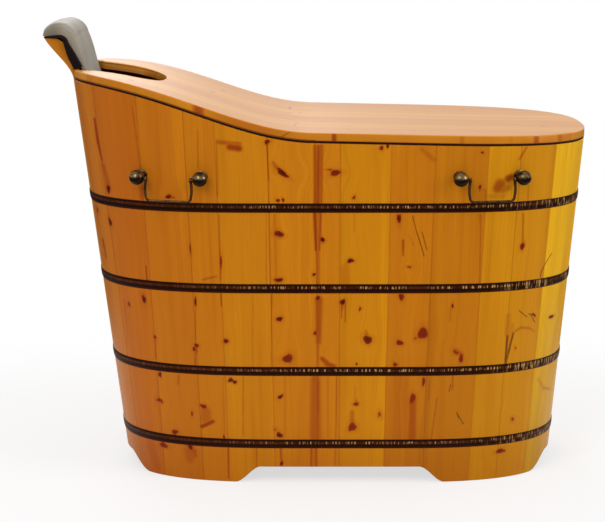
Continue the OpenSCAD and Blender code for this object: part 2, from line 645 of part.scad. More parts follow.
lap = 0.4; // how far the bail's straight lengths run into its bends
module bail(h) {
    ends = hinge_ends(h);
    along = ends[1] - ends[0];
    leg = norm(along) / 2 - ball_d / 2 - leg_in;
    r = bail_d / 2;
    color(bronze) translate((ends[0] + ends[1]) / 2) rotate([0, 0, atan2(along.y, along.x)]) {
        for (side = [-1, 1]) {
            rotate([0, side * 90, 0]) translate([0, 0, leg]) cylinder(r = r, h = leg_in + pin_in);
            translate([side * leg, 0, 0]) sphere(r = r * 1.35);
            translate([side * leg, 0, -bail_drop + bend - lap]) cylinder(r = r, h = bail_drop - bend + lap);
            translate([side * (leg - bend), 0, -bail_drop + bend])
                rotate([90, 0, 0]) rotate([0, 0, side > 0 ? -90 : 180])
                rotate_extrude(angle = 90) translate([bend, 0]) circle(r = r + 0.05);
        }
        rotate([0, 90, 0]) translate([bail_drop, 0, 0]) cylinder(r = r, h = 2 * (leg - bend + lap), center = true);
    }
}
module right_head_bail() bail(handles[0]);
module right_foot_bail() bail(handles[1]);
module left_head_bail() bail(handles[2]);
module left_foot_bail() bail(handles[3]);

// Pillow: it follows the raised back's inner face and hooks over its top edge
pillow_gap = 1;
rest_z = back_h - back_edge_r;
// The line that the backing follows, from its lower end up and over the top, at the tub's middle
pillow_low = back_h - pillow_drop;
function rest_x(z) = head_x(z) + stave_t - neck(z);
rest_line = concat(
    [for (i = [0 : 8]) let (z = mix(pillow_low, rest_z, i / 8)) [rest_x(z), z]],
    [for (a = [30, 60]) [rest_x(rest_z) - back_edge_r * (1 - cos(a)), rest_z + back_edge_r * sin(a)]],
    [let (x0 = rest_x(rest_z) - back_edge_r, x1 = head_x(back_h) - flare(back_h) - nose)
        for (i = [0 : 3]) [mix(x0, x1, i / 3), back_h]]);
rest_n = len(rest_line);
function rest_normal(i) =
    let (d = unit(rest_line[min(i + 1, rest_n - 1)] - rest_line[max(i - 1, 0)])) [d.y, -d.x];
// A column of the pillow or its backing at width y, between two distances from the raised back
function pad_column(y, near, far) =
    let (line = [for (i = [0 : rest_n - 1]) let (q = rest_line[i], n = rest_normal(i)) [q, n]])
    [for (d = [near, far]) [for (i = [0 : rest_n - 1])
        let (q = line[i][0] + line[i][1] * d[i], z = rest_line[i].y, swing = wall_x(y, z) - wall_x(0, z))
        [q.x + swing, y, q.y]]];
function even(d) = [for (i = [0 : rest_n - 1]) d];
module pillow_backing() color(black)
    wrap([for (j = [8 : -1 : -8]) pad_column(j / 8 * (pillow_w / 2 - 1), even(pillow_gap),
        even(pillow_gap + backing_t))]);
// Thickness of the pillow: crowned across its front, even over the top, drawn in at both ends
function pad_t(v, i) =
    let (u = i / (rest_n - 1), across = sqrt(max(0, 1 - pow(abs(v), 5))),
        full = mix(mix(pillow_edge, pillow_crown, across), pillow_top, smooth((u - 0.1) / 0.6)),
        ends = pow(min(1, u / 0.12), 0.5) * pow(min(1, (1 - u) / 0.1), 0.4))
    max(2.5, full * mix(0.35, 1, ends) * mix(0.3, 1, pow(1 - pow(abs(v), 14), 0.5)));
module neck_pillow() color("#96907e") {
    stations = [-1, -0.985, -0.95, -0.88, -0.75, -0.55, -0.3, 0, 0.3, 0.55, 0.75, 0.88, 0.95, 0.985, 1];
    base = pillow_gap + backing_t + tiny;
    wrap([for (j = [len(stations) - 1 : -1 : 0]) let (v = stations[j])
        pad_column(v * pillow_w / 2, even(base), [for (i = [0 : rest_n - 1]) base + pad_t(v, i)])]);
}

head_stave();
foot_stave();
for (i = [1 : side_count]) {
    right_stave(i);
    left_stave(i);
}
bottom_hoop();
lower_hoop();
upper_hoop();
top_hoop();
hoop_rivets();
floor_boards();
floor_battens();
floor_screws();
drain_flange();
drain_washer();
drain_nut();
drain_plug();
seat_boards();
seat_cleats();
lid_head_boards();
lid_foot_boards();
lid_battens();
lid_screws();
lid_seal();
handle_posts();
handle_plates();
handle_nuts();
right_head_bail();
right_foot_bail();
left_head_bail();
left_foot_bail();
pillow_backing();
neck_pillow();
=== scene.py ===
import bpy
import bmesh
import numpy as np
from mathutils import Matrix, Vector


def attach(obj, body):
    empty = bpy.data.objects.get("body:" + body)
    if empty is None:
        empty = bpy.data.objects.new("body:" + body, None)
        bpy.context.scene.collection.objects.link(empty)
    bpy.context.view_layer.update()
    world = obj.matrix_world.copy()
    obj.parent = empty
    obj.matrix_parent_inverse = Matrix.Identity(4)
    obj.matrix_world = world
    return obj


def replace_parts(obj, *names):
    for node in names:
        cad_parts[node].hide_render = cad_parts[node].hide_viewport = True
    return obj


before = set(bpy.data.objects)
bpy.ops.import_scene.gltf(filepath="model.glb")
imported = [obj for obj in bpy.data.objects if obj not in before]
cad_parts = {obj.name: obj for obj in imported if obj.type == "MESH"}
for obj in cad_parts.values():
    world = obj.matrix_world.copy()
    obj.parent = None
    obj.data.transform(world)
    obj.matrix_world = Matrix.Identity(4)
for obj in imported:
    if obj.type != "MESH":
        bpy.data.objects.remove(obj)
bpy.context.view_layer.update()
print("frame loaded:", len(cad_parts), "nodes")
scene = bpy.context.scene
rng = np.random.default_rng(7)

# The tub's own sizes, in metres, as in the part's source
tub = dict(floorLen=.902, floorW=.510, headLean=.125, footLean=.086, sideLean=.079, headRound=.370,
           footRound=.360, squareness=2.8, jointFan=.140, staveT=.023, rimH=.706, rimFall=.021, rimRise=.100,
           riseEnd=.585, riseStart=.056, riseBias=1.2, backW=.264, backH=.900, backEdge=.012, flareFrom=.815,
           flareTo=.917, backFlare=.052, neckFrom=.790, neckLean=.040, archH=.034, sideSpan=.430,
           endSpan=.356, archSlope=.054, nose=.002, spanZ=.330)
quarter = np.pi / 2
sq = tub["squareness"]


# Shape of the shell

def smooth(t):
    t = np.clip(t, 0, 1)
    return t * t * (3 - 2 * t)


def mix(a, b, t):
    return a + (b - a) * t


def flare(z):
    return tub["backFlare"] * smooth((z - tub["flareFrom"]) / (tub["flareTo"] - tub["flareFrom"]))


def neckBack(z):
    return tub["neckLean"] * (np.maximum(0, z - tub["neckFrom"]) / (tub["backH"] - tub["neckFrom"])) ** 1.5


headReach = tub["floorLen"] / 2 + tub["headLean"] * tub["backH"] + flare(tub["backH"]) + tub["nose"]
footReach = tub["floorLen"] / 2 + tub["footLean"] * (tub["rimH"] - tub["rimFall"] * tub["floorLen"] / 2)
mid = (headReach - footReach) / 2
topZ = tub["rimH"] + tub["rimRise"]


def headX(z):
    return mid - tub["floorLen"] / 2 - tub["headLean"] * z


def footX(z):
    return mid + tub["floorLen"] / 2 + tub["footLean"] * z


def halfW(z):
    return tub["floorW"] / 2 + tub["sideLean"] * z


def turns(p):
    # cosine and sine of the head end's quarter turn and of the foot end's
    a, b = quarter * np.clip(p, 0, 1), quarter * np.clip(3 - p, 0, 1)
    return np.cos(a), np.sin(a), np.cos(b), np.sin(b)


def path(p, z):
    # superellipse quarters at p 0-1 and 2-3 with a straight side between, y taken as positive
    c1, s1, c3, s3 = turns(p)
    k = 2 / sq
    x1 = headX(z) + tub["headRound"] * (1 - c1 ** k)
    x3 = footX(z) - tub["footRound"] * (1 - c3 ** k)
    x2 = mix(headX(z) + tub["headRound"], footX(z) - tub["footRound"], p - 1)
    return (np.where(p <= 1, x1, np.where(p < 2, x2, x3)),
            halfW(z) * np.where(p <= 1, s1 ** k, np.where(p < 2, 1.0, s3 ** k)))


def outward(p, z):
    # gradient of the superellipse, made a unit vector
    c1, s1, c3, s3 = turns(p)
    q = 2 / sq * (sq - 1)
    nx = np.where(p <= 1, -c1 ** q / tub["headRound"], np.where(p < 2, 0, c3 ** q / tub["footRound"]))
    ny = np.where(p <= 1, s1 ** q / halfW(z), np.where(p < 2, 1.0, s3 ** q / halfW(z)))
    size = np.hypot(nx, ny)
    return nx / size, ny / size


pathP = np.linspace(0, 3, 181)
pathX, pathY = path(pathP, tub["spanZ"])
pathS = np.concatenate([[0], np.cumsum(np.hypot(np.diff(pathX), np.diff(pathY)))])
halfRound = pathS[-1]


def pAtX(x, z):
    h, f = tub["headRound"], tub["footRound"]
    a = np.arccos(np.clip((headX(z) + h - x) / h, 0, 1) ** (sq / 2)) / quarter
    b = 1 + (x - headX(z) - h) / (footX(z) - f - headX(z) - h)
    c = 3 - np.arccos(np.clip((x - footX(z) + f) / f, 0, 1) ** (sq / 2)) / quarter
    return np.where(x < headX(z) + h, a, np.where(x < footX(z) - f, b, c))


def pOf(s, z):
    # a joint leans straight out of the outline as it rises, and fans out on the sides
    p0 = np.interp(np.where(s < 0, -s, np.where(s > halfRound, 2 * halfRound - s, s)), pathS, pathP)
    cx, cy = path(p0, tub["spanZ"])
    nx, ny = outward(p0, tub["spanZ"])
    ux, uy = path(p0, tub["spanZ"] + .001)
    lean = ((ux - cx) * nx + (uy - cy) * ny) / .001
    rise = z - tub["spanZ"]
    slide = np.sign(cx - mid) * np.maximum(lean * np.abs(nx), tub["jointFan"] * np.abs(cx - mid))
    b = np.arcsin(np.clip((cy + lean * ny * rise) / halfW(z), 0, 1) ** (sq / 2)) / quarter
    return np.where(ny > np.abs(nx), pAtX(cx + slide * rise, z), np.where(p0 > 1.5, 3 - b, b))


def shell(s, z, off=0.0):
    # straight line from the ground's outline to the one at the highest rim, less off along the normal
    s, z = np.broadcast_arrays(np.asarray(s, float), np.asarray(z, float))
    low, high, t = 0 * z, 0 * z + topZ, z / topZ
    a, b = pOf(s, low), pOf(s, high)
    (ax, ay), (bx, by) = path(a, low), path(b, high)
    (anx, any_), (bnx, bny) = outward(a, low), outward(b, high)
    nx, ny = mix(anx, bnx, t), mix(any_, bny, t)
    size = np.hypot(nx, ny)
    side = np.where((s < 0) | (s > halfRound), 1.0, -1.0)
    return np.stack([mix(ax, bx, t) - off * nx / size, side * (mix(ay, by, t) - off * ny / size), z], -1)


def rim(x):
    share = np.clip((x - mid + tub["riseEnd"]) / (tub["riseEnd"] - tub["riseStart"]), 0, 1) ** tub["riseBias"]
    return tub["rimH"] - tub["rimFall"] * (x - mid) + tub["rimRise"] * (1 + np.cos(np.pi * share)) / 2


def rimAt(s, off):
    z = 0 * s + tub["rimH"]
    for _ in range(3):
        z = rim(shell(s, z, off)[..., 0])
    return z


def arch(s, off):
    q = shell(s, 0 * s, off)
    a = (tub["sideSpan"] / 2 - np.abs(q[..., 0] - mid)) / tub["archSlope"]
    b = (tub["endSpan"] / 2 - np.abs(q[..., 1])) / tub["archSlope"]
    return tub["archH"] * np.maximum(smooth(a), smooth(b))


def wallX(y, z):
    return headX(z) + tub["headRound"] * (1 - (1 - (np.abs(y) / halfW(z)) ** sq) ** (1 / sq))


def backPoint(s, z, off, shift):
    # above the rim the raised back keeps its width and only leans back
    low = np.minimum(z, tub["flareFrom"])
    o, q = shell(s, low), shell(s, low, off)
    x = q[..., 0] + wallX(o[..., 1], z) - wallX(o[..., 1], low) - shift
    return np.stack([x, q[..., 1], z + 0 * x], -1)


# Widths of the staves on each side in millimetres, as in the part's source, from the raised back to the foot
shares = np.array([77, 88, 91, 57, 101, 87, 46, 95, 83, 100, 64, 79, 96, 98, 40], float)


def sAtY(y):
    s = y
    for _ in range(6):
        s = s * y / -shell(s, tub["flareFrom"])[..., 1]
    return float(s)


backS = sAtY(tub["backW"] / 2)
joints = np.concatenate([[sAtY(tub["backW"] / 6), backS],
                         mix(backS, halfRound, np.cumsum(shares)[:-1] / shares.sum())])


# Meshes

def gridFaces(rows, cols, closeRows=False, closeCols=False, start=0):
    # quads between neighbouring rows and columns of a grid of points
    i = np.arange(rows if closeRows else rows - 1)
    j = np.arange(cols if closeCols else cols - 1)
    i, j = np.meshgrid(i, j, indexing="ij")
    i2, j2 = (i + 1) % rows, (j + 1) % cols
    return (start + np.stack([i * cols + j, i * cols + j2, i2 * cols + j2, i2 * cols + j], -1)).reshape(-1, 4)


def newPiece(name, points, faces, body, material, attributes=None, sharp=40, merge=0.0):
    mesh = bpy.data.meshes.new(name)
    mesh.from_pydata(np.asarray(points, float).reshape(-1, 3).tolist(), [], [list(f) for f in faces])
    for key, values in (attributes or {}).items():
        values = np.asarray(values, np.float32)
        if values.ndim == 1:
            mesh.attributes.new(key, "FLOAT", "POINT").data.foreach_set("value", values)
        else:
            mesh.attributes.new(key, "FLOAT_VECTOR", "POINT").data.foreach_set("vector", values.ravel())
    bm = bmesh.new()
    bm.from_mesh(mesh)
    if merge:
        bmesh.ops.remove_doubles(bm, verts=bm.verts, dist=merge)
    bmesh.ops.recalc_face_normals(bm, faces=bm.faces)
    bm.to_mesh(mesh)
    bm.free()
    mesh.polygons.foreach_set("use_smooth", np.ones(len(mesh.polygons), bool))
    mesh.set_sharp_from_angle(angle=np.radians(sharp))
    mesh.materials.append(material)
    obj = bpy.data.objects.new(name, mesh)
    scene.collection.objects.link(obj)
    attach(obj, body)
    return obj


def lathe(profile, centre, axis, around=48):
    # turns a profile (radius, height) about an axis through centre
    axis = np.asarray(axis, float) / np.linalg.norm(axis)
    side = np.cross(axis, [0.0, 0.0, 1.0] if abs(axis[2]) < .9 else [1.0, 0.0, 0.0])
    side /= np.linalg.norm(side)
    other = np.cross(axis, side)
    a = np.linspace(0, 2 * np.pi, around, endpoint=False)
    ring = np.cos(a)[:, None] * side + np.sin(a)[:, None] * other
    profile = np.asarray(profile, float)
    return (np.asarray(centre) + profile[:, None, 0, None] * ring[None] + profile[:, None, 1, None] * axis)


# Materials

def linear(r, g, b):
    c = np.array([r, g, b], float) / 255
    return tuple(np.where(c <= .04045, c / 12.92, ((c + .055) / 1.055) ** 2.4)) + (1.0,)


def feed(tree, n, values):
    # a socket comes in by a link, anything else is put on the node's own socket
    for key, value in values.items():
        if isinstance(value, bpy.types.NodeSocket):
            tree.links.new(value, n.inputs[key])
        else:
            n.inputs[key].default_value = value


def addNode(tree, kind, values=None, **settings):
    n = tree.nodes.new("ShaderNode" + kind)
    for key, value in settings.items():
        setattr(n, key, value)
    feed(tree, n, values or {})
    return n


def mathNode(tree, operation, a, b=0.0, c=0.0):
    n = addNode(tree, "Math", {0: a, 1: b, 2: c}, operation=operation)
    return n.outputs[0]


def times(tree, a, b):
    return mathNode(tree, "MULTIPLY", a, b)


def timesPlus(tree, a, b, c):
    return mathNode(tree, "MULTIPLY_ADD", a, b, c)


def mixColour(tree, factor, a, b, blend="MIX"):
    n = addNode(tree, "Mix", {0: factor, 6: a, 7: b}, data_type="RGBA", blend_type=blend)
    return n.outputs[2]


def tinted(tree, factor, colour, tint):
    return mixColour(tree, factor, colour, mixColour(tree, 1.0, colour, tint, "MULTIPLY"))


def ramp(tree, value, low, high, toLow=0.0, toHigh=1.0):
    given = {0: value, 1: low, 2: high, 3: toLow, 4: toHigh}
    return addNode(tree, "MapRange", given, interpolation_type="SMOOTHSTEP").outputs[0]


def noise(tree, vector, scale, detail=2.0, rough=0.5):
    n = addNode(tree, "TexNoise", {"Vector": vector, "Scale": scale, "Detail": detail, "Roughness": rough})
    return n.outputs["Fac"]


def stretched(tree, vector, scale):
    return addNode(tree, "Mapping", {"Vector": vector, "Scale": scale}).outputs[0]


def nodeGroup(name, inputs, outputs):
    tree = bpy.data.node_groups.new(name, "ShaderNodeTree")
    for label, kind in inputs:
        tree.interface.new_socket(name=label, in_out="INPUT", socket_type="NodeSocket" + kind)
    for label, kind in outputs:
        tree.interface.new_socket(name=label, in_out="OUTPUT", socket_type="NodeSocket" + kind)
    return tree, tree.nodes.new("NodeGroupInput"), tree.nodes.new("NodeGroupOutput")


def makeGrainGroup():
    # Grain runs along Y of its vector, X is across the board and Z sets boards apart
    tree, given, out = nodeGroup("pineGrain", [("Vector", "Vector"), ("Ring Density", "Float")],
                                 [("Figure", "Float"), ("Ring", "Float"), ("Fibre", "Float")])
    vec = given.outputs["Vector"]
    broad = noise(tree, stretched(tree, vec, (16, 1.1, 1)), 1.0, 3.0, .55)
    narrow = noise(tree, stretched(tree, vec, (75, 1.8, 1)), 1.0, 2.0, .5)
    figure = timesPlus(tree, broad, .62, times(tree, narrow, .38))
    wander = noise(tree, stretched(tree, vec, (5, 1.6, 1)), 1.0, 1.0)
    x = addNode(tree, "SeparateXYZ", {0: vec}).outputs[0]
    turn = mathNode(tree, "ADD", times(tree, x, given.outputs["Ring Density"]),
                    times(tree, wander, 9.0))
    wave = mathNode(tree, "FRACT", turn)
    late = mathNode(tree, "POWER", wave, 3.0)
    fade = ramp(tree, wave, .9, 1.0, 1.0, 0.0)
    patchy = noise(tree, stretched(tree, vec, (24, 1.5, 1)), 1.0, 2.0)
    ringOut = times(tree, times(tree, late, fade), ramp(tree, patchy, .45, .72))
    fibre = noise(tree, stretched(tree, vec, (520, 14, 1)), 1.0, 2.0, .6)
    tree.links.new(figure, out.inputs["Figure"])
    tree.links.new(ringOut, out.inputs["Ring"])
    tree.links.new(fibre, out.inputs["Fibre"])
    return tree


def makeKnotGroup():
    # Knot is a distance that is 1 at a knot's rim; the crack input is a distance in metres to cracks and to
    # the painted shadow line on the lid's edge
    tree, given, out = nodeGroup("knotMarks", [("Vector", "Vector"), ("Knot", "Float"), ("CrackAndShadowLine", "Float")],
                                 [(label, "Float") for label in ("Core", "Heart", "Halo", "Line")])
    rag = noise(tree, given.outputs["Vector"], 210.0, 3.0, .6)
    reach = mathNode(tree, "ADD", given.outputs["Knot"], timesPlus(tree, rag, .8, -.4))
    tree.links.new(ramp(tree, reach, .85, 1.15, 1.0, 0.0), out.inputs["Core"])
    tree.links.new(ramp(tree, reach, .3, 1.1, 1.0, 0.0), out.inputs["Heart"])
    tree.links.new(ramp(tree, reach, .9, 2.4, 1.0, 0.0), out.inputs["Halo"])
    crackNear = timesPlus(tree, rag, .0014, given.outputs["CrackAndShadowLine"])
    tree.links.new(ramp(tree, crackNear, .0012, .0026, 1.0, 0.0), out.inputs["Line"])
    return tree


grainGroup = makeGrainGroup()
knotGroup = makeKnotGroup()


def newMaterial(name, **sockets):
    mat = bpy.data.materials.new(name)
    mat.use_nodes = True
    shader = mat.node_tree.nodes["Principled BSDF"]
    for key, value in sockets.items():
        shader.inputs[key].default_value = value
    return mat, mat.node_tree, shader


def dress(tree, shader, colour, roughness, height, strength, distance):
    bump = addNode(tree, "Bump", {"Height": height, "Strength": strength, "Distance": distance}).outputs[0]
    feed(tree, shader, {"Base Color": colour, "Roughness": roughness, "Normal": bump})


def attribute(tree, name, output="Fac"):
    return addNode(tree, "Attribute", attribute_name=name, attribute_type="GEOMETRY").outputs[output]


pine = dict(darkGrain=linear(132, 66, 6), knotHeart=linear(134, 36, 6), knotDark=linear(64, 13, 3),
            knotHalo=linear(164, 60, 4), streak=linear(140, 28, 5), crackAndShadowLine=linear(84, 28, 4),
            seam=linear(118, 46, 4), shade=(.80, .68, .46, 1), light=(1.13, 1.20, 1.0, 1),
            # edge: painted shade on the lid's side faces, darker and more orange than its top
            # inside: painted shade on inner faces, under the lid and in its neck opening
            inside=(.52, .40, .30, 1), edge=(.84, .72, .34, 1), sheen=(1, .62, .22, 1), ringDensity=120.0,
            ringDepth=.2)


def makePine(name, onAttributes=True, boardWidth=0.0, coat=.05, coatRough=.12, rough=.40, gloss=.30,
             plain=None):
    mat, tree, shader = newMaterial(name, **{"Coat Weight": coat, "Coat Roughness": coatRough, "IOR": 1.45,
                                             "Specular IOR Level": gloss, "Specular Tint": pine["sheen"]})
    if onAttributes:
        vec, base = attribute(tree, "grain", "Vector"), attribute(tree, "tint", "Vector")
        # painted shade: inside darkens inner faces, the lid's underside and the neck opening's walls
        base = tinted(tree, attribute(tree, "inside"), base, pine["inside"])
        # painted shade: the lid's side faces darker and more orange than its top
        base = tinted(tree, attribute(tree, "edge"), base, pine["edge"])
    else:
        where = addNode(tree, "TexCoord").outputs["Object"]
        vec, base = addNode(tree, "Mapping", {"Vector": where, "Rotation": (0, 0, quarter)}).outputs[0], plain
    given = {"Vector": vec, "Ring Density": pine["ringDensity"]}
    grain = addNode(tree, "Group", given, node_tree=grainGroup).outputs
    figure = grain["Figure"]
    colour = tinted(tree, ramp(tree, figure, .5, .68), base, pine["light"])
    colour = tinted(tree, ramp(tree, figure, .5, .3, 0.0, .7), colour, pine["shade"])
    colour = mixColour(tree, times(tree, grain["Ring"], pine["ringDepth"]), colour, pine["darkGrain"])
    colour = mixColour(tree, ramp(tree, grain["Fibre"], .5, .85, 0.0, .2), colour, pine["darkGrain"])
    height = timesPlus(tree, grain["Fibre"], .3, times(tree, grain["Ring"], -.4))
    if onAttributes:
        given = {"Vector": attribute(tree, "place", "Vector"), "Knot": attribute(tree, "knot"),
                 "CrackAndShadowLine": attribute(tree, "crackAndShadowLine")}
        marks = addNode(tree, "Group", given, node_tree=knotGroup).outputs
        streak = times(tree, attribute(tree, "streak"), ramp(tree, figure, .3, .65, 1.0, .82))
        colour = mixColour(tree, streak, colour, pine["streak"])
        colour = mixColour(tree, times(tree, marks["Halo"], .3), colour, pine["knotHalo"])
        dark = times(tree, marks["Heart"], attribute(tree, "knotTone"))
        centre = mixColour(tree, dark, pine["knotHeart"], pine["knotDark"])
        colour = mixColour(tree, marks["Core"], colour, centre)
        # cracks, and the painted shadow line on the lid's edge, take the crack colour
        colour = mixColour(tree, times(tree, marks["Line"], .8), colour, pine["crackAndShadowLine"])
        height = mathNode(tree, "SUBTRACT", height, marks["Line"])
        seam = attribute(tree, "seam")
        if boardWidth:       # glue lines between the lid's boards
            across = addNode(tree, "SeparateXYZ", {0: attribute(tree, "place", "Vector")}).outputs[0]
            turn = mathNode(tree, "FRACT", timesPlus(tree, across, 1 / boardWidth, .5))
            apart = mathNode(tree, "ABSOLUTE", mathNode(tree, "SUBTRACT", turn, .5))
            seam = mathNode(tree, "MAXIMUM", seam, ramp(tree, apart, .0, .0014 / boardWidth, .6, 0.0))
        colour = mixColour(tree, seam, colour, pine["seam"])
    dress(tree, shader, colour, timesPlus(tree, grain["Fibre"], .12, rough - .06), height, .12, .0006)
    return mat


stavePine = makePine("varnishedPine")
lidBoards = 6
lidBoardWidth = 2 * float(halfW(topZ)) / lidBoards
lidPine = makePine("varnishedLidPine", boardWidth=lidBoardWidth, coat=.06, coatRough=.16, rough=.38, gloss=.5)
innerPine = makePine("innerPine", onAttributes=False, coat=.1, rough=.5, plain=linear(206, 146, 78))

hoopLook = dict(dark=linear(25, 6, 2), warm=linear(74, 29, 9), foot=linear(62, 14, 3),
                glint=linear(196, 152, 92))


def makeHoopSteel():
    # a dark patinated band with a painted highlight along its middle, and fine upright painted glints over
    # parts of its length
    mat, tree, shader = newMaterial("patinatedHoop", **{"IOR": 1.45, "Specular IOR Level": .14,
                                                        "Specular Tint": (1, .6, .32, 1)})
    band = attribute(tree, "band", "Vector")   # X along the hoop in metres, Y from -1 to 1 across, Z the hoop
    parts = addNode(tree, "SeparateXYZ", {0: band})
    along, across = parts.outputs[0], parts.outputs[1]
    blotch = noise(tree, stretched(tree, band, (11, .8, 1)), 1.0, 3.0)
    middle = times(tree, ramp(tree, across, -.15, .1), ramp(tree, across, .35, .65, 1.0, 0.0))
    colour = mixColour(tree, ramp(tree, across, -.55, -.85), hoopLook["dark"], hoopLook["foot"])
    # painted highlight along the band's middle, blotchy
    middleHighlight = times(tree, middle, ramp(tree, blotch, .3, .6, .35, 1.0))
    colour = mixColour(tree, middleHighlight, colour, hoopLook["warm"])
    ticks = noise(tree, stretched(tree, band, (300, .35, 1)), 1.0, 1.0)
    where = noise(tree, stretched(tree, band, (7, .1, 1)), 1.0, 2.0)
    reach = times(tree, ramp(tree, along, .36, .62, .12, 1.0), ramp(tree, along, 1.12, 1.3, 1.0, .12))
    much = times(tree, reach, ramp(tree, where, .32, .5, .2, 1.0))
    edges = ramp(tree, mathNode(tree, "ABSOLUTE", across), .6, .95, .9, 0.0)
    tall = mathNode(tree, "MAXIMUM", middle, times(tree, ramp(tree, along, .96, 1.08), edges))
    # painted glints: fine light ticks over parts of the length
    glint = times(tree, times(tree, ramp(tree, ticks, .53, .64), much), tall)
    gap = times(tree, ramp(tree, ticks, .47, .38), times(tree, much, .8))
    colour = mixColour(tree, gap, colour, hoopLook["dark"])
    colour = mixColour(tree, times(tree, glint, .8), colour, hoopLook["glint"])
    roughness, height = timesPlus(tree, blotch, .25, .34), mathNode(tree, "ADD", ticks, blotch)
    dress(tree, shader, colour, roughness, height, .2, .0004)
    return mat


def makeMetal(name, base, dark, rough, metallic=1.0, scale=60.0, shadeBelow=0.0):
    # painted shade: darker where the surface looks down
    mat, tree, shader = newMaterial(name, **{"Metallic": metallic, "Specular IOR Level": .3})
    where = addNode(tree, "TexCoord").outputs
    blotch = noise(tree, where["Object"], scale, 3.0, .6)
    fine = noise(tree, where["Object"], scale * 14, 2.0, .6)
    belowShade = ramp(tree, addNode(tree, "SeparateXYZ", {0: where["Normal"]}).outputs[2], -.35, .35, shadeBelow, 0.0)
    darker = mathNode(tree, "MAXIMUM", belowShade, ramp(tree, blotch, .35, .7))
    colour = mixColour(tree, darker, base, dark)
    dress(tree, shader, colour, timesPlus(tree, blotch, .25, rough - .1), fine, .15, .0003)
    return mat


def makeSoft(name, base, dark, rough, pebble, depth, gloss, shadeFrom=None):
    mat, tree, shader = newMaterial(name, **{"IOR": 1.45, "Specular IOR Level": gloss})
    where = addNode(tree, "TexCoord").outputs["Object"]
    given = {"Vector": where, "Scale": pebble}
    cells = addNode(tree, "TexVoronoi", given, feature="SMOOTH_F1").outputs["Distance"]
    cloud = noise(tree, where, 9.0, 3.0)
    pores = noise(tree, where, pebble * 2.2, 2.0)
    much = ramp(tree, cloud, .3, .7)
    if shadeFrom:         # painted shade, darker beyond this x
        across = addNode(tree, "SeparateXYZ", {0: where}).outputs[0]
        much = timesPlus(tree, ramp(tree, across, shadeFrom, shadeFrom - .03), .8, times(tree, much, .4))
    roughness, height = timesPlus(tree, pores, .2, rough - .1), timesPlus(tree, pores, .4, cells)
    dress(tree, shader, mixColour(tree, much, base, dark), roughness, height, depth, .0005)
    return mat


hoopSteel = makeHoopSteel()
agedBronze = makeMetal("agedBronze", linear(118, 96, 64), linear(24, 12, 6), .17,
                       metallic=.85, scale=70.0, shadeBelow=.97)
darkBronze = makeMetal("darkBronze", linear(104, 72, 38), linear(44, 20, 8), .36,
                       metallic=.6, scale=160.0, shadeBelow=.9)
plainSteel = makeMetal("plainSteel", linear(205, 204, 200), linear(170, 168, 164), .32, scale=200.0)
sealRubber = makeSoft("sealRubber", linear(40, 12, 5), linear(30, 8, 4), .7, 700.0, .1, .12)
backingFoam = makeSoft("backingFoam", linear(26, 9, 13), linear(18, 6, 8), .7, 500.0, .15, .12)
pillowSkin = makeSoft("pillowSkin", linear(156, 148, 133), linear(118, 108, 90), .5, 620.0, .22, .4,
                      shadeFrom=headX(tub["backH"]) + .005)
print("materials made")
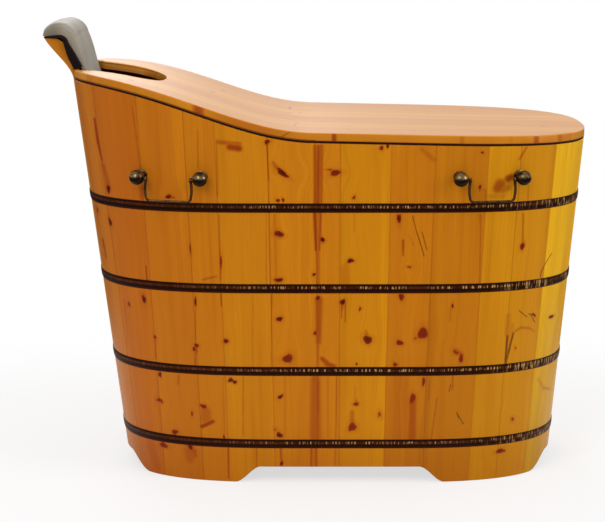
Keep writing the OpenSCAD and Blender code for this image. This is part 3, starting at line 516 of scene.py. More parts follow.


# Marks on the near side, read off the photo in its pixels; the photo's camera puts them on the boards
photo = dict(width=605, height=522, sensor=36, lens=112.67, x=mid - .0768, y=-4.0, z=1.1444, tilt=10.32)
knotsSeen = [  # x, y, width, height, tilt in degrees, darkness, faintness, and tail downwards in mm
    (108.5, 189, 4, 9, 8, .9, 0, -35), (110.2, 222, 3.5, 7.5, 20, .9, 0, 12),
    (97.5, 210, 3, 8, 0, .2, .8, 0), (168.5, 196.7, 6.5, 4, 0, .8, 0, 0), (173, 197.5, 5, 3, 0, .1, .8, 0),
    (190.3, 249, 2, 13, 0, .3, .6, 0), (221, 262, 2.6, 14, 0, .4, .5, 0), (267, 142, 5.5, 5, 0, .7, 0, 0),
    (282.5, 173, 16, 5, -36, .9, 0, 0), (278.3, 200.5, 3.2, 4, 0, .7, .3, 0),
    (283, 200, 3, 4.5, 0, .7, .3, 0), (279.5, 234, 8, 6, 0, .7, 0, 14), (279.5, 280, 6.5, 4.5, 0, .8, 0, 0),
    (322.6, 239.6, 5, 5, -30, 1, 0, 12), (314, 274.5, 3.8, 3, 0, .7, .2, 0),
    (329, 169.5, 8, 3, 0, .1, .75, 0), (335.5, 172.8, 12, 6, 0, .5, .3, 0),
    (381.5, 148, 4, 6, 0, .4, .4, 0), (387.6, 146.5, 3.2, 3.6, 0, .9, 0, 0),
    (354, 197.5, 4.5, 5, 0, .2, .65, 0), (482.5, 152.5, 2.8, 2.8, 0, .9, .2, 0),
    (480, 187, 2.6, 5.5, 0, .5, .3, 14), (522.4, 246.5, 4.2, 8, 0, .6, .1, -26),
    (399, 218.5, 4.2, 10, 0, .8, .1, 0), (350.5, 260.7, 6.2, 5, 0, 1, 0, 0),
    (409.5, 267, 5, 3.6, 0, .2, .75, 0), (400.8, 297, 4.4, 7, 0, .5, .3, 0),
    (342.7, 302, 5.5, 6, 0, 1, 0, 24), (360, 309, 3, 4.5, 0, .3, .5, 0),
    (367.7, 339.7, 8.4, 9, 0, .75, 0, -10), (422.7, 333.3, 9.6, 13, 8, .45, 0, 0),
    (415.5, 338, 5, 5, 0, 0, .85, 0), (399, 342.7, 5.6, 5.6, 0, .5, .2, 0),
    (395, 364.5, 4.5, 5, 0, .3, .4, 0), (356.6, 364, 2, 3, 0, .8, .1, 0),
    (452.5, 306, 2.2, 5, 0, .9, 0, -14), (461, 358.5, 4.5, 8, 0, .4, .2, 0),
    (456, 352.5, 8, 5, -35, .1, .7, 0), (515.5, 348, 2.6, 3.6, 0, .2, .7, 0),
    (551.4, 316.6, 6, 3, 0, .9, 0, 0), (534, 315, 5, 2.4, -30, .8, .2, 0),
    (423.6, 381.5, 3, 9, 0, .5, .1, 12), (412.6, 398.3, 6.6, 9, 0, .35, 0, 75),
    (356, 404.2, 5, 4, 0, .5, .1, -16), (352.2, 427, 7.6, 9, 0, .35, 0, -24),
    (379.5, 414.5, 5, 10, 0, 0, .85, 0), (512.5, 419, 5, 5, 0, .1, .75, 0),
    (499.8, 451, 7.4, 5, 0, .6, 0, 0), (504, 450.8, 3, 2.6, 0, .6, 0, 0),
    (144, 299.3, 4.6, 7, 10, .9, 0, -18), (129, 304, 3.4, 4.4, 0, .3, .5, 0),
    (155, 337, 3, 4, 0, .5, .3, 30), (195.5, 301.5, 2.4, 10, 0, .9, 0, 18),
    (196.5, 345.5, 4.4, 4.4, 30, .8, 0, 24), (194, 349, 3.6, 4, 0, .6, .1, 0),
    (226, 341, 4.6, 5.4, 45, .9, 0, 0), (280, 319, 5, 5, 0, .9, 0, 0),
    (287.8, 358.5, 9.4, 9.4, 0, .45, .1, 0), (317.8, 298, 4.6, 4.2, 0, .8, .1, 0),
    (315, 333, 3.4, 5, 0, .4, .4, 0), (160, 374.5, 3, 6, 0, .9, 0, 0), (159.5, 400, 5.4, 4, 0, .5, .1, 0),
    (162, 402.5, 4, 3, 0, 0, .8, 0), (203.5, 406.2, 7, 4, 0, .6, .1, 0), (230.6, 380, 4.8, 5, 0, .9, 0, 0),
    (234.6, 382, 4.4, 4.2, 0, .9, 0, 0), (280.6, 396.7, 7.2, 5.4, -30, 1, 0, 0),
    (279, 435, 6, 5.6, 0, 1, 0, 0), (275.5, 430, 4, 4, 0, 0, .85, 0),
    (281.6, 463.5, 4.6, 4.6, 0, 1, 0, -26), (175, 432, 7, 4.6, 0, .6, 0, 0),
    (163.5, 445, 7, 6, 0, .6, 0, 0), (190.5, 447, 5.4, 5, 0, .9, 0, 0), (192, 414, 3, 6, 0, .2, .65, 0),
    (224, 437, 1.8, 5, 0, .8, .1, 0)]
stainsSeen = [  # soft strokes: ends x, y, x, y, half widths at the two ends, strength
    (103.5, 166, 108, 183, 2, 2, .5), (94.5, 119, 98, 143, 1.1, 1.5, .95), (98, 143, 102, 160, 1.2, .9, .9),
    (103, 240, 106, 257, 1, .8, .8), (146, 266, 147.2, 285, .8, 1.1, .85),
    (142, 189, 142, 198, 2.6, 2.2, .55), (219, 215, 220.5, 280, .9, .9, .45),
    (203, 279.5, 216, 276.5, 1.2, 1.2, .5), (216.5, 140, 217.5, 196, .8, 1, .45),
    (218, 142, 239.5, 144, 2.4, 2.2, .6), (230, 147, 239, 148.5, 3.6, 3.4, 1),
    (267, 144, 268.6, 180, .8, .8, .8), (268.6, 180, 270, 285, .7, .7, .35),
    (273, 162, 277, 168, 1.4, 2, .6), (314.8, 146, 315.3, 210, 1.8, 2, .8),
    (318.4, 146, 318.2, 212, 1.7, 1.8, 1), (321.6, 146, 321, 212, 1.9, 1.8, .7),
    (314.6, 213, 316, 250, 1.9, 1.4, 1), (320.8, 213, 319.4, 250, 1.4, 1, .85),
    (317.7, 214, 318, 286, 2.8, 1.8, .55), (421.5, 149, 434, 160, 2, 2.4, .35),
    (519.5, 159, 527, 147, 1.4, 1, .6), (485, 190, 486, 199, 2, 2, .3), (500, 184, 498, 188, 5.6, 5.4, .85),
    (508.5, 178.5, 511, 177, 4, 3.4, 1), (503, 190, 508, 188, 3.4, 3.4, .5),
    (487, 196, 504, 196, 2.2, 2.2, .25), (528.6, 176, 527.8, 204, .7, .7, .5),
    (523.2, 214, 522.6, 243, 1, 1, .6), (402.7, 240, 402.9, 256, .8, .6, .8),
    (354.3, 214, 354.3, 232, 1, 1, .3), (345.5, 268, 345.5, 284, 5, 5, .28),
    (341.5, 303, 341.5, 318, .8, .6, .9), (345.3, 303, 345.3, 322, .8, .6, .9),
    (365.7, 331, 367, 336, 1.6, 2.2, .5), (450.5, 309, 450, 321, 1.2, 1.2, .35),
    (456, 350, 462, 356, 2.4, 2.2, .5), (508.5, 316, 507, 334, 3, 3, .3), (511, 326, 508, 345, 3.4, 3, .28),
    (515.5, 331, 521, 327.5, 1.4, 1.3, .5), (521, 327.5, 530, 328.3, 1.3, 1.2, .5),
    (530, 328.3, 534, 331, 1.2, 1, .4), (400, 377, 400, 436, 15, 15, .3),
    (412.5, 402, 412, 438, 4.2, 4.8, .65), (452.8, 376, 452.3, 390, .8, .7, .6),
    (437, 398, 431, 440, .8, .7, .5), (429.8, 380, 428.5, 400, .8, .7, .4),
    (538, 379, 544, 389, 1.2, 1.4, .3), (543, 387.5, 550, 389, 1.4, 1.4, .5),
    (355, 386, 355, 402, .8, .8, .35), (352, 412, 352, 422, 2.4, 2.6, .55),
    (319, 300, 318.5, 342, 4.2, 3, .7), (318, 342, 318, 366, 1.8, 1.2, .45),
    (322, 358.5, 327, 363, 2.2, 2.6, .85), (327, 364, 334, 366, 2.8, 2, .85),
    (315.5, 379, 315.5, 437, 5.4, 6.4, .62), (318.2, 382, 318, 412, 2, 2, .75),
    (311, 449, 311, 466, .9, .9, .8), (316, 449, 316, 466, 1, 1, .9),
    (313.5, 449, 313.5, 466, 2.4, 2.4, .35), (336.8, 377, 335.8, 438, .7, .7, .7),
    (335.5, 449, 335, 466, .7, .7, .6), (228.3, 449, 228.5, 478, 1, 1, .8),
    (256.6, 448, 256.6, 466, .7, .7, .6), (280.7, 448, 281, 460, .8, .8, .9),
    (206, 412, 206, 419, 5.4, 5.4, .5), (202, 426.5, 213, 421.5, 2, 2, 1), (190, 451, 190, 458, 6.6, 5, .4),
    (194.5, 451, 195.5, 456, 2.6, 2.2, .6), (152, 446, 158, 466, 6, 4, .3),
    (195.5, 310, 195.5, 340, .6, .6, .45), (195.2, 350, 195, 366, .8, .8, .6),
    (155.3, 340, 156, 358, .8, .8, .5), (271.4, 295, 271.4, 366, .6, .6, .6),
    (252.6, 295, 252.6, 366, .8, .8, .3), (221, 294, 221.4, 306, .8, .7, .8),
    (243.2, 376, 243.2, 436, .7, .7, .5), (223, 378, 224.5, 434, .7, .7, .35),
    (179, 376, 178, 384, 1.2, 1.2, .4), (328, 377, 328, 437, .9, .9, .3),
    (285, 377, 285, 436, 1.4, 1.4, .25), (274.5, 215, 276, 285, 1.6, 1.6, .3),
    (266.2, 214, 266.5, 284, .7, .7, .45), (132, 106, 141, 172, .7, .7, .5),
    (197.8, 130, 198, 168, .6, .6, .5), (481, 215, 479.5, 282, .9, .9, .5),
    (124.5, 300, 128, 345, 1, 1, .25), (480, 215, 481, 240, 1, .8, .4)]
cracksSeen = [  # thin dark lines: ends x, y, x, y, weight
    (412.5, 216, 418, 236, 1), (418, 236, 424, 256, 1), (422, 232, 427, 250, .9), (409, 235, 414, 247, .6),
    (552, 253, 545, 264, 1), (545, 264, 541, 272, 1.1), (541, 272, 540.6, 277, 1.1),
    (507.4, 336, 505.4, 360, 1.9), (513.4, 333, 509.5, 348, 1.8), (509.5, 348, 505.6, 363, 2.2),
    (519, 310.5, 527, 317, 1), (528.5, 313.8, 532, 315, 1), (531, 315, 534.6, 322, 1.1),
    (457, 413.5, 463.5, 424, 1.1), (458.6, 418, 456.4, 412, .9), (448.8, 392, 451, 384, .8)]
sampleS, sampleZ = (grid.ravel() for grid in np.meshgrid(np.linspace(0, 1.27, 255), np.linspace(0, .86, 87)))
leastStroke = .0012


def inPhoto(q):
    # the pixel at which the photo's camera sees a point: sideways and up, each over the depth ahead of it
    tilt, scale = np.radians(photo["tilt"]), photo["lens"] / photo["sensor"] * photo["width"]
    ahead, above = q[..., 1] - photo["y"], q[..., 2] - photo["z"]
    depth = ahead * np.cos(tilt) - above * np.sin(tilt)
    up = ahead * np.sin(tilt) + above * np.cos(tilt)
    return np.stack([photo["width"] / 2 + scale * (q[..., 0] - photo["x"]) / depth,
                     photo["height"] / 2 - scale * up / depth], -1)


samplePixels = inPhoto(shell(sampleS, sampleZ))


def onBoards(pixels):
    # the places s, z that the photo shows at pixels x, y, by Newton's method, and pixels per metre both ways
    pixels = np.array(pixels, float)
    start = np.argmin(np.linalg.norm(samplePixels[None] - pixels[:, None], axis=2), axis=1)
    s, z, step, longest = sampleS[start], sampleZ[start], .0001, .02
    for _ in range(8):
        here, beside, above = inPhoto(shell([s, s + step, s], [z, z, z + step]))
        slope = np.stack([beside - here, above - here], -1) / step
        move = np.linalg.pinv(slope, rcond=.001) @ (pixels - here)[..., None]
        s, z = np.stack([s, z]) + np.clip(move[..., 0].T, -longest, longest)
    return s, z, np.abs(slope[:, 0, 0]), np.abs(slope[:, 1, 1])


def knotsOnBoards(seen):
    places = zip(*onBoards([knot[:2] for knot in seen]))
    return [(s, z, wide / 2 / scaleS, high / 2 / scaleZ, tilt, dark, faint, tail / 1000)
            for (s, z, scaleS, scaleZ), (_, _, wide, high, tilt, dark, faint, tail) in zip(places, seen)]


def strokesOnBoards(seen):
    # an upright stroke's half widths lie along s, another's along z; a crack has a weight alone
    s0, z0, scaleS, scaleZ = onBoards([stroke[:2] for stroke in seen])
    s1, z1, *_ = onBoards([stroke[2:4] for stroke in seen])
    strokes = []
    for k, (x0, y0, x1, y1, *halves, strength) in enumerate(seen):
        scale = scaleS[k] if abs(x1 - x0) < abs(y1 - y0) else scaleZ[k]
        widths = [max(half / scale, leastStroke) for half in halves]
        strokes.append((s0[k], z0[k], s1[k], z1[k], *widths, strength))
    return strokes


knots = knotsOnBoards(knotsSeen)
stains, cracks = strokesOnBoards(stainsSeen), strokesOnBoards(cracksSeen)

# The right side's tints, from head to foot, are tuned until the render's tone on each board came near
# the tone measured in the photo; the left side's are the same in another order
boardTints = {
    "head": (190, 116, 24), "foot": (216, 154, 18),
    "right": [(202, 128, 28), (190, 108, 18), (183, 97, 16), (189, 108, 17), (193, 114, 15), (195, 120, 14),
              (194, 116, 14), (195, 116, 14), (198, 125, 11), (191, 112, 13), (189, 113, 13), (199, 130, 12),
              (197, 129, 12), (220, 163, 16), (226, 162, 22)]}
boardTints["left"] = [boardTints["right"][i] for i in (3, 8, 1, 11, 5, 9, 6, 2, 7, 10, 12, 4, 8, 12, 13)]


def boardMarks(s, z, seed, centre, places, strokes, lines):
    # for the shader: the grain's place bent round the knots, and distances to knots and cracks
    u = s - centre
    knot, tone = np.full(s.shape, 3.0), np.full(s.shape, .5)
    streak, crackAndShadowLine = np.zeros(s.shape), np.full(s.shape, .01)
    warp = u.copy()
    for ks, kz, rx, rz, tilt, dark, faint, tail in places:
        cos, sin = np.cos(np.radians(tilt)), np.sin(np.radians(tilt))
        du, dv = s - ks, z - kz
        along, across = (du * cos + dv * sin) / rx, (dv * cos - du * sin) / rz
        bearing = np.arctan2(across, along)
        uneven = 1 + .13 * np.sin(2 * bearing + ks * 900) + .10 * np.sin(3 * bearing + kz * 700)
        reach = np.hypot(np.hypot(along, across) / uneven, faint)
        tone = np.where(reach < knot, dark, tone)
        knot = np.minimum(knot, reach)
        warp -= .8 * np.exp(-(du / (3.2 * rx)) ** 2 - (dv / (5 * rz)) ** 2) * du
        if tail:
            far = -dv / tail
            fade = smooth(far * 6) * smooth((1 - far) * 1.5)
            streak = np.maximum(streak, .6 * fade * np.exp(-(du / max(.0012, .6 * rx)) ** 2))
    for s0, z0, s1, z1, half0, half1, strength in strokes:
        off, t = strokeDistance(s, z, s0, z0, s1, z1)
        streak = np.maximum(streak, strength * np.exp(-(off / mix(half0, half1, t)) ** 4))
    for s0, z0, s1, z1, weight in lines:
        crackAndShadowLine = np.minimum(crackAndShadowLine, strokeDistance(s, z, s0, z0, s1, z1)[0] / weight)
    return dict(grain=np.stack([warp, z, 0 * s + seed], -1), place=np.stack([s, z, 0 * s + seed], -1),
                knot=knot, knotTone=tone, streak=streak, crackAndShadowLine=crackAndShadowLine, edge=0 * s)


def strokeDistance(s, z, s0, z0, s1, z1):
    ds, dz = s1 - s0, z1 - z0
    t = np.clip(((s - s0) * ds + (z - z0) * dz) / (ds * ds + dz * dz), 0, 1)
    return np.hypot(s - s0 - t * ds, z - z0 - t * dz), t


def marksNear(marks, a, b, room):
    return [m for m in marks if a - room < m[0] < b + room]


def randomMarks(low, high, zLow, zHigh, count):
    # knots as in the list, with sizes, darkness, faintness and tails by chance
    s, z = rng.uniform(low, high, count), rng.uniform(zLow, zHigh, count)
    size = rng.uniform(.0025, .0075, count)
    return [(a, b, c, c * rng.uniform(.7, 1.3), 0, rng.uniform(.3, 1), rng.choice([0, 0, .4]),
             rng.choice([0, 0, .02, .05])) for a, b, c in zip(s, z, size)]


# Staves
stave = dict(column=.0035, fine=.0018, edge=(0, .0005, .0018), groove=.0005, round=.0012, seam=.0019,
             rowEnd=.0015, floorZ=.060, floorT=.022, croze=.006, slack=.0002, chamfer=.001, lowest=.09)


def staveColumns(a, b, step):
    # columns along a stave, closer at its joints, and how far the V between two staves lies in at each
    edge = np.array(stave["edge"])
    inside = np.linspace(a + edge[-1], b - edge[-1], max(4, int((b - a) / step)))[1:-1]
    s = np.concatenate([a + edge, inside, b - edge[::-1]])
    return s, stave["groove"] * np.clip(1 - np.minimum(s - a, b - s) / stave["round"], 0, 1)


def faceRows(s, tall, inset, count):
    # outer face from the arch to the rim, or to the raised back's top
    rimO = rimAt(s, 0)
    top = 0 * s + tub["backH"] if tall else rimO
    rows = []      # each row: points, heights for the marks, distance from the outer face
    share = np.concatenate([[0], np.linspace(stave["rowEnd"], 1 - stave["rowEnd"], count), [1]])
    for h in share:
        z = mix(arch(s, 0), top, h)
        proud = inset + (stave["round"] if h in (0, 1) else 0)
        if tall:      # the groove is deeper above the rim
            proud = proud + .0014 * smooth((z - rimO) / .01) * inset / stave["groove"]
            rows.append((backPoint(s, z, proud, flare(z)), z, 0.0))
        else:
            rows.append((shell(s, z, proud), z, 0.0))
    return rows


def innerRows(s, tall):
    # inner face from the top down to the croze, the groove that holds the floor, and the foot
    t, r, rows = tub["staveT"], tub["backEdge"], []
    if tall:
        for angle in np.radians([90, 70, 50, 30, 10, 0]):
            z = 0 * s + tub["backH"] - r * (1 - np.sin(angle))
            rows.append((backPoint(s, z, t, neckBack(z) + r * (1 - np.cos(angle))), z, t))
        upper = np.linspace(tub["backH"] - 1.5 * r, tub["neckFrom"], 14)
        for h in [*upper, *np.arange(.76, stave["lowest"], -.03)]:
            z = 0 * s + h
            rows.append((backPoint(s, z, t, neckBack(z)), z, t))
    else:
        rimI = rimAt(s, t)
        for h in np.linspace(.999, 0, 22):
            z = mix(0 * s + stave["lowest"], rimI, h)
            rows.append((shell(s, z, t), z, t))
    low, high = stave["floorZ"] - stave["slack"], stave["floorZ"] + stave["floorT"] + stave["slack"]
    deep, bevel = t - stave["croze"], stave["chamfer"]
    for off, z in ((t, high + bevel), (deep, high), (deep, low), (t, low - bevel)):
        rows.append((shell(s, 0 * s + z, off), 0 * s + z, off))
    archI = arch(s, t)
    rows.append((shell(s, archI + bevel, t), archI, t))
    rows.append((shell(s, archI, t - bevel), archI, t))
    return rows


def makeStave(name, a, b, tall, tint, seed, places, strokes, lines):
    fine = stave["fine"] if 0 < a < joints[14] else stave["column"]
    s, inset = staveColumns(a, b, fine)
    top = tub["backH"] if tall else rimAt(s, 0).max()
    rows = faceRows(s, tall, inset, int((top - arch(s, 0).min()) / fine)) + innerRows(s, tall)
    points, z = (np.stack([row[k] for row in rows]) for k in (0, 1))
    depth = np.stack([0 * s + row[2] for row in rows])
    m, n = z.shape
    faces = list(gridFaces(m, n, closeRows=True))
    faces += [list(range(0, m * n, n)), list(range(n - 1, m * n, n))[::-1]]
    ss = np.broadcast_to(s, z.shape) + depth * .3
    marks = boardMarks(ss.ravel(), z.ravel(), seed, (a + b) / 2, places, strokes, lines)
    h = z.ravel()[:, None]      # painted shade: the wood darkens towards the bottom, more so towards the foot end
    footEndShade = .92 if a < .7 else .86 if a < 1.05 else .68
    marks["tint"] = (np.array(linear(*tint)[:3]) * mix(np.array([.88, .82, .74]), 1.0, smooth(h / .15))
                     * mix(footEndShade, 1.0, smooth(h / .5)))
    # joints differ in darkness
    dark = np.where(s < (a + b) / 2, .2 + .4 * (seed * 7.3 % 1), .2 + .4 * (seed * 3.1 % 1))
    seam = dark * np.clip(1 - np.minimum(s - a, b - s) / stave["seam"], 0, 1)
    marks["seam"] = np.broadcast_to(seam, z.shape).ravel()
    # painted shade: the inner faces are darker, below the raised back's flare
    marks["inside"] = np.clip(depth.ravel() / tub["staveT"], 0, 1) * (z.ravel() < tub["flareFrom"])
    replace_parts(newPiece("stave_" + name, points, faces, "tub", stavePine, marks), name)


def makeStaves():
    makeStave("head_stave", -joints[0], joints[0], True, boardTints["head"], 1.5,
              randomMarks(-.04, .04, .1, .7, 3), [], [])
    for i in range(1, 16):
        a, b = joints[i - 1], joints[i]
        places = marksNear(knots, a, b, .012) + (randomMarks(a, b, .08, .66, 4) if i in (1, 15) else [])
        makeStave(f"right_stave_{i}", a, b, i == 1, boardTints["right"][i - 1], i * 3.7, places,
                  marksNear(stains, a, b, .03), marksNear(cracks, a, b, .02))
    for i in range(1, 16):
        a, b = -joints[i], -joints[i - 1]
        far = randomMarks(a + .008, b - .008, .06, .68, int(rng.integers(2, 6)))
        s = rng.uniform(a, b)
        stroke = (s, rng.uniform(.05, .4), s + .004, rng.uniform(.45, .66), .002, .004, rng.uniform(.3, .7))
        makeStave(f"left_stave_{i}", a, b, i == 1, boardTints["left"][i - 1], 60 + i * 2.9, far, [stroke], [])
    makeStave("foot_stave", joints[15], 2 * halfRound - joints[15], False, boardTints["foot"], 45.0,
              randomMarks(joints[15], 2 * halfRound - joints[15], .1, .65, 4), [], [])


makeStaves()
print("staves made")


# Hoops
hoop = dict(z=(.084, .239, .412, .577), width=.019, thick=.0016, crown=.0007, gap=.0001, lap=.060, step=.004)
lapS = 2 * halfRound - float(np.interp(1.5, pathP, pathS))


def hoopProfile():
    # outer face crowned between two rounded edges, inner face flat; pairs are (out, share of half width)
    t = np.linspace(-1, 1, 13)
    out = hoop["thick"] - hoop["crown"] * t ** 2 - .0005 * (np.abs(t) > .95)
    outer = np.stack([out, t], -1)
    inner = np.array([[0, .97], [0, .4], [0, -.4], [0, -.97]])
    return np.concatenate([outer, inner])


def makeHoop(name, z, number):
    profile = hoopProfile()
    length = 2 * halfRound
    s = np.arange(lapS - hoop["lap"] / 2 - length, lapS + hoop["lap"] / 2, hoop["step"])
    lift = hoop["thick"] * smooth((s - (lapS - hoop["lap"] / 2 - .03)) / .03)   # the end rides over the start
    around = s % length
    heights = z + profile[:, 1] * hoop["width"] / 2
    points = shell(around[:, None], heights[None, :], -(hoop["gap"] + lift[:, None] + profile[None, :, 0]))
    m, n = len(s), len(profile)
    faces = list(gridFaces(m, n, closeCols=True)) + [list(range(n))[::-1], list(range((m - 1) * n, m * n))]
    band = np.stack([np.broadcast_to(around[:, None], (m, n)), np.broadcast_to(profile[None, :, 1], (m, n)),
                     np.full((m, n), number * 5.3)], -1)
    piece = newPiece(name.replace("_", ""), points, faces, "tub", hoopSteel,
                     {"band": band.reshape(-1, 3)}, sharp=50)
    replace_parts(piece, name)


for number, name in enumerate(("bottom_hoop", "lower_hoop", "upper_hoop", "top_hoop")):
    makeHoop(name, hoop["z"][number], number)
print("hoops made")


# Lid
lid = dict(clear=.0003, seal=.004, thick=.016, jointX=.099, jointSlope=.022, neckW=.240, neckEnd=.365,
           neckRound=.075, backGap=.002, topRound=.0028, lowRound=.001, shadow=.0024, step=.006)


def lidLow(x):
    return rim(x) + lid["clear"] + lid["seal"]


def lidThick(x):
    return lid["thick"] * np.hypot(1, (rim(x + .001) - rim(x - .001)) / .002)


outlineP = np.concatenate([np.linspace(.0, 1, 90), np.linspace(1, 2, 90)[1:], np.linspace(2, 3, 90)[1:]])
outlineS = np.interp(outlineP, pathP, pathS)
outline = shell(outlineS, rimAt(outlineS, 0) + lid["thick"] / 2)


def lidOuter(x):
    return np.interp(x, outline[:, 0], -outline[:, 1])


def lidInner(x):
    # half width of the neck opening, and of the slot round the raised back behind it
    share = np.clip(1 - (mid - lid["neckEnd"] - x) / lid["neckRound"], 0, 1) ** 1.25
    half = lid["neckW"] / 2 * np.sin(np.arccos(share)) ** .8
    return np.where(x > mid - lid["neckEnd"], 0.0, half)


backSlotX = mid - tub["floorLen"] / 2 - tub["headLean"] * tub["rimH"] + tub["staveT"] + .008


def lidStations(low, high):
    # x places, closer together where an edge turns across the lid, and the slot's half width at each
    neckTurn = mid - lid["neckEnd"] - lid["neckRound"] * np.linspace(0, 1, 40) ** 2.2
    x = np.concatenate([np.arange(low, high, lid["step"]), [high], outline[:, 0], neckTurn])
    x = np.unique(np.round(x[(x >= low) & (x <= high)], 5))
    inner = lidInner(x)
    if low > backSlotX:
        return x, inner
    slot = lid["neckW"] / 2
    wide = tub["backW"] / 2 + lid["backGap"]
    before = x < backSlotX
    x = np.concatenate([x[before], [backSlotX, backSlotX], x[~before]])
    inner = np.concatenate([0 * inner[before] + wide, [wide, slot], inner[~before]])
    return x, inner


lidKnots = [  # x from the tub's middle, y, half width across, half length
    (-.088, -.150, .003, .004), (-.080, .060, .003, .004), (.195, .10, .003, .004), (.36, .08, .003, .004),
    (.12, -.20, .002, .003), (-.25, .12, .004, .005), (-.42, -.20, .004, .006), (.42, -.10, .004, .005),
    (.28, .22, .004, .005), (-.18, .24, .003, .004)]
bandMarks = [  # marks on the lid's near edge, after the photo: x from the middle, half length, strength
    (-.015, .005, 1), (.386, .006, .95), (.437, .005, .5), (-.280, .011, .95), (-.50, .006, .25),
    (-.175, .075, .4), (.235, .004, .4)]
topMarks = [  # marks on its top: x from the middle, y, half length, half width, strength
    (-.104, .138, .0022, .034, .7), (-.092, -.192, .002, .026, .5), (-.269, .032, .004, .03, .3)]
lidTints = [(206, 134, 40), (212, 144, 48), (205, 132, 42), (214, 147, 50), (208, 138, 44), (203, 130, 38)]


def makeLidHalf(side, low, high, cutLow, cutHigh):
    # one side of the lid: loops round its section at each x place, joined along x
    x, inner = lidStations(low, high)
    outer = np.maximum(lidOuter(x), inner + .0002)
    thick = lidThick(x)
    r, q = lid["topRound"], lid["lowRound"]
    width = outer - inner
    r = np.minimum(r, width / 3)
    rIn = np.where(inner > .001, r, 0.0)
    loops, depth = [], []

    def put(y, down):
        loops.append(y)
        depth.append(down)
    for a in np.linspace(0, quarter, 4):                       # inner top edge, rounded at the opening
        put(inner + rIn * (1 - np.sin(a)), rIn * (1 - np.cos(a)))
    for t in np.linspace(0, 1, 42)[1:-1]:
        put(mix(inner + rIn, outer - r, t), 0 * x)
    for a in np.linspace(0, quarter, 5):
        put(outer - r * (1 - np.sin(a)), r * (1 - np.cos(a)))
    for lower in (lid["shadow"] + .0006, lid["shadow"], q):
        put(outer, thick - lower)
    put(outer - q, thick)
    for t in np.linspace(1, 0, 12)[1:-1]:
        put(mix(inner, outer - q, t), thick)
    put(inner + 0 * x, thick)
    y = np.stack(loops, 1)
    down = np.stack(depth, 1)
    share = down / thick[:, None]
    xx = np.broadcast_to(x[:, None], y.shape).copy()
    if cutHigh:
        xx -= lid["jointSlope"] * share * smooth((xx - (high - .05)) / .05)
    if cutLow:
        xx -= lid["jointSlope"] * share * smooth(((low + .05) - xx) / .05)
    z = lidLow(xx) + lidThick(xx) - down
    points = np.stack([xx, side * y, z], -1)
    m, n = y.shape
    faces = list(gridFaces(m, n, closeCols=True)) + [list(range(n)), list(range((m - 1) * n, m * n))[::-1]]
    return points.reshape(-1, 3), faces


def makeLidPart(name, node, low, high, cutLow, cutHigh, tintShift, seed):
    points, faces = [], []
    for side in (-1, 1):
        p, f = makeLidHalf(side, low, high, cutLow, cutHigh)
        faces += [[i + sum(len(q) for q in points) for i in face] for face in f]
        points.append(p)
    p = np.concatenate(points)
    board = np.clip(np.floor(p[:, 1] / lidBoardWidth) + lidBoards // 2, 0, lidBoards - 1).astype(int)
    centre = (board - (lidBoards - 1) / 2) * lidBoardWidth
    across, along = p[:, 1] - centre, p[:, 0] - mid
    knot = np.full(len(p), 3.0)
    warp = across.copy()
    for kx, ky, ry, rx in lidKnots:
        du, dv = p[:, 1] - ky, along - kx
        knot = np.minimum(knot, np.hypot(du / ry, dv / rx))
        warp -= .8 * du * np.exp(-(du / (3 * ry)) ** 2 - (dv / (5 * rx)) ** 2)
    side = (np.abs(p[:, 1]) > lidOuter(p[:, 0]) - .0006).astype(float)
    nearSide = (side > 0) & (p[:, 1] < 0) & (along < .53)
    streak = np.zeros(len(p))
    for bx, half, strength in bandMarks:
        streak = np.maximum(streak, np.where(nearSide, strength * np.exp(-((along - bx) / half) ** 4), 0))
    for bx, by, half, wide, strength in topMarks:
        spot = np.exp(-((along - bx) / half) ** 4 - ((p[:, 1] - by) / wide) ** 4)
        streak = np.maximum(streak, np.where(side > 0, 0, strength * spot))
    above, thick = p[:, 2] - lidLow(p[:, 0]), lidThick(p[:, 0])
    down = 1 - np.clip(above / thick, 0, 1)
    cut = np.abs(along + lid["jointX"] + lid["jointSlope"] * down)      # the sloping joint shows on the edge
    crackAndShadowLine = np.where((side > 0) & (down > .05), 1.1 * cut, .01)
    low = (down * thick > thick - lid["shadow"] - .0001) & (along < -.05)     # painted shadow line on the lid edge's lower part, above the seal
    crackAndShadowLine = np.where((side > 0) & low, 0.0, crackAndShadowLine)
    # painted shade on the neck opening's walls and on the lid's underside, carried by inside
    neckOpeningShade = (np.abs(p[:, 1]) < lidInner(p[:, 0]) + .0002) & (down > .12)
    undersideShade = 1 - np.clip(above / .002, 0, 1)
    tints = np.array([linear(*t)[:3] for t in lidTints]) * tintShift
    # edge carries painted shade on the lid's side faces
    marks = dict(inside=np.maximum(undersideShade, 1.25 * neckOpeningShade), edge=side, knotTone=.5 + 0 * undersideShade,
                 grain=np.stack([warp, along, seed + board * 3.1], -1),
                 place=np.stack([p[:, 1], along, p[:, 2]], -1),
                 knot=knot, streak=streak, crackAndShadowLine=crackAndShadowLine, tint=tints[board], seam=0 * undersideShade)
    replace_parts(newPiece(name, p, faces, "lid", lidPine, marks, sharp=35, merge=.00002), node)


lidFrom = float(np.interp(tub["backW"] / 2 + lid["backGap"] + .001, -outline[:90, 1], outline[:90, 0]))
makeLidPart("lidHead", "lid_head_boards", lidFrom, mid - lid["jointX"], False, True, .97, 3.0)
makeLidPart("lidFoot", "lid_foot_boards", mid - lid["jointX"], float(outline[-1, 0]), True, False, 1.0, 31.0)
print("lid made")


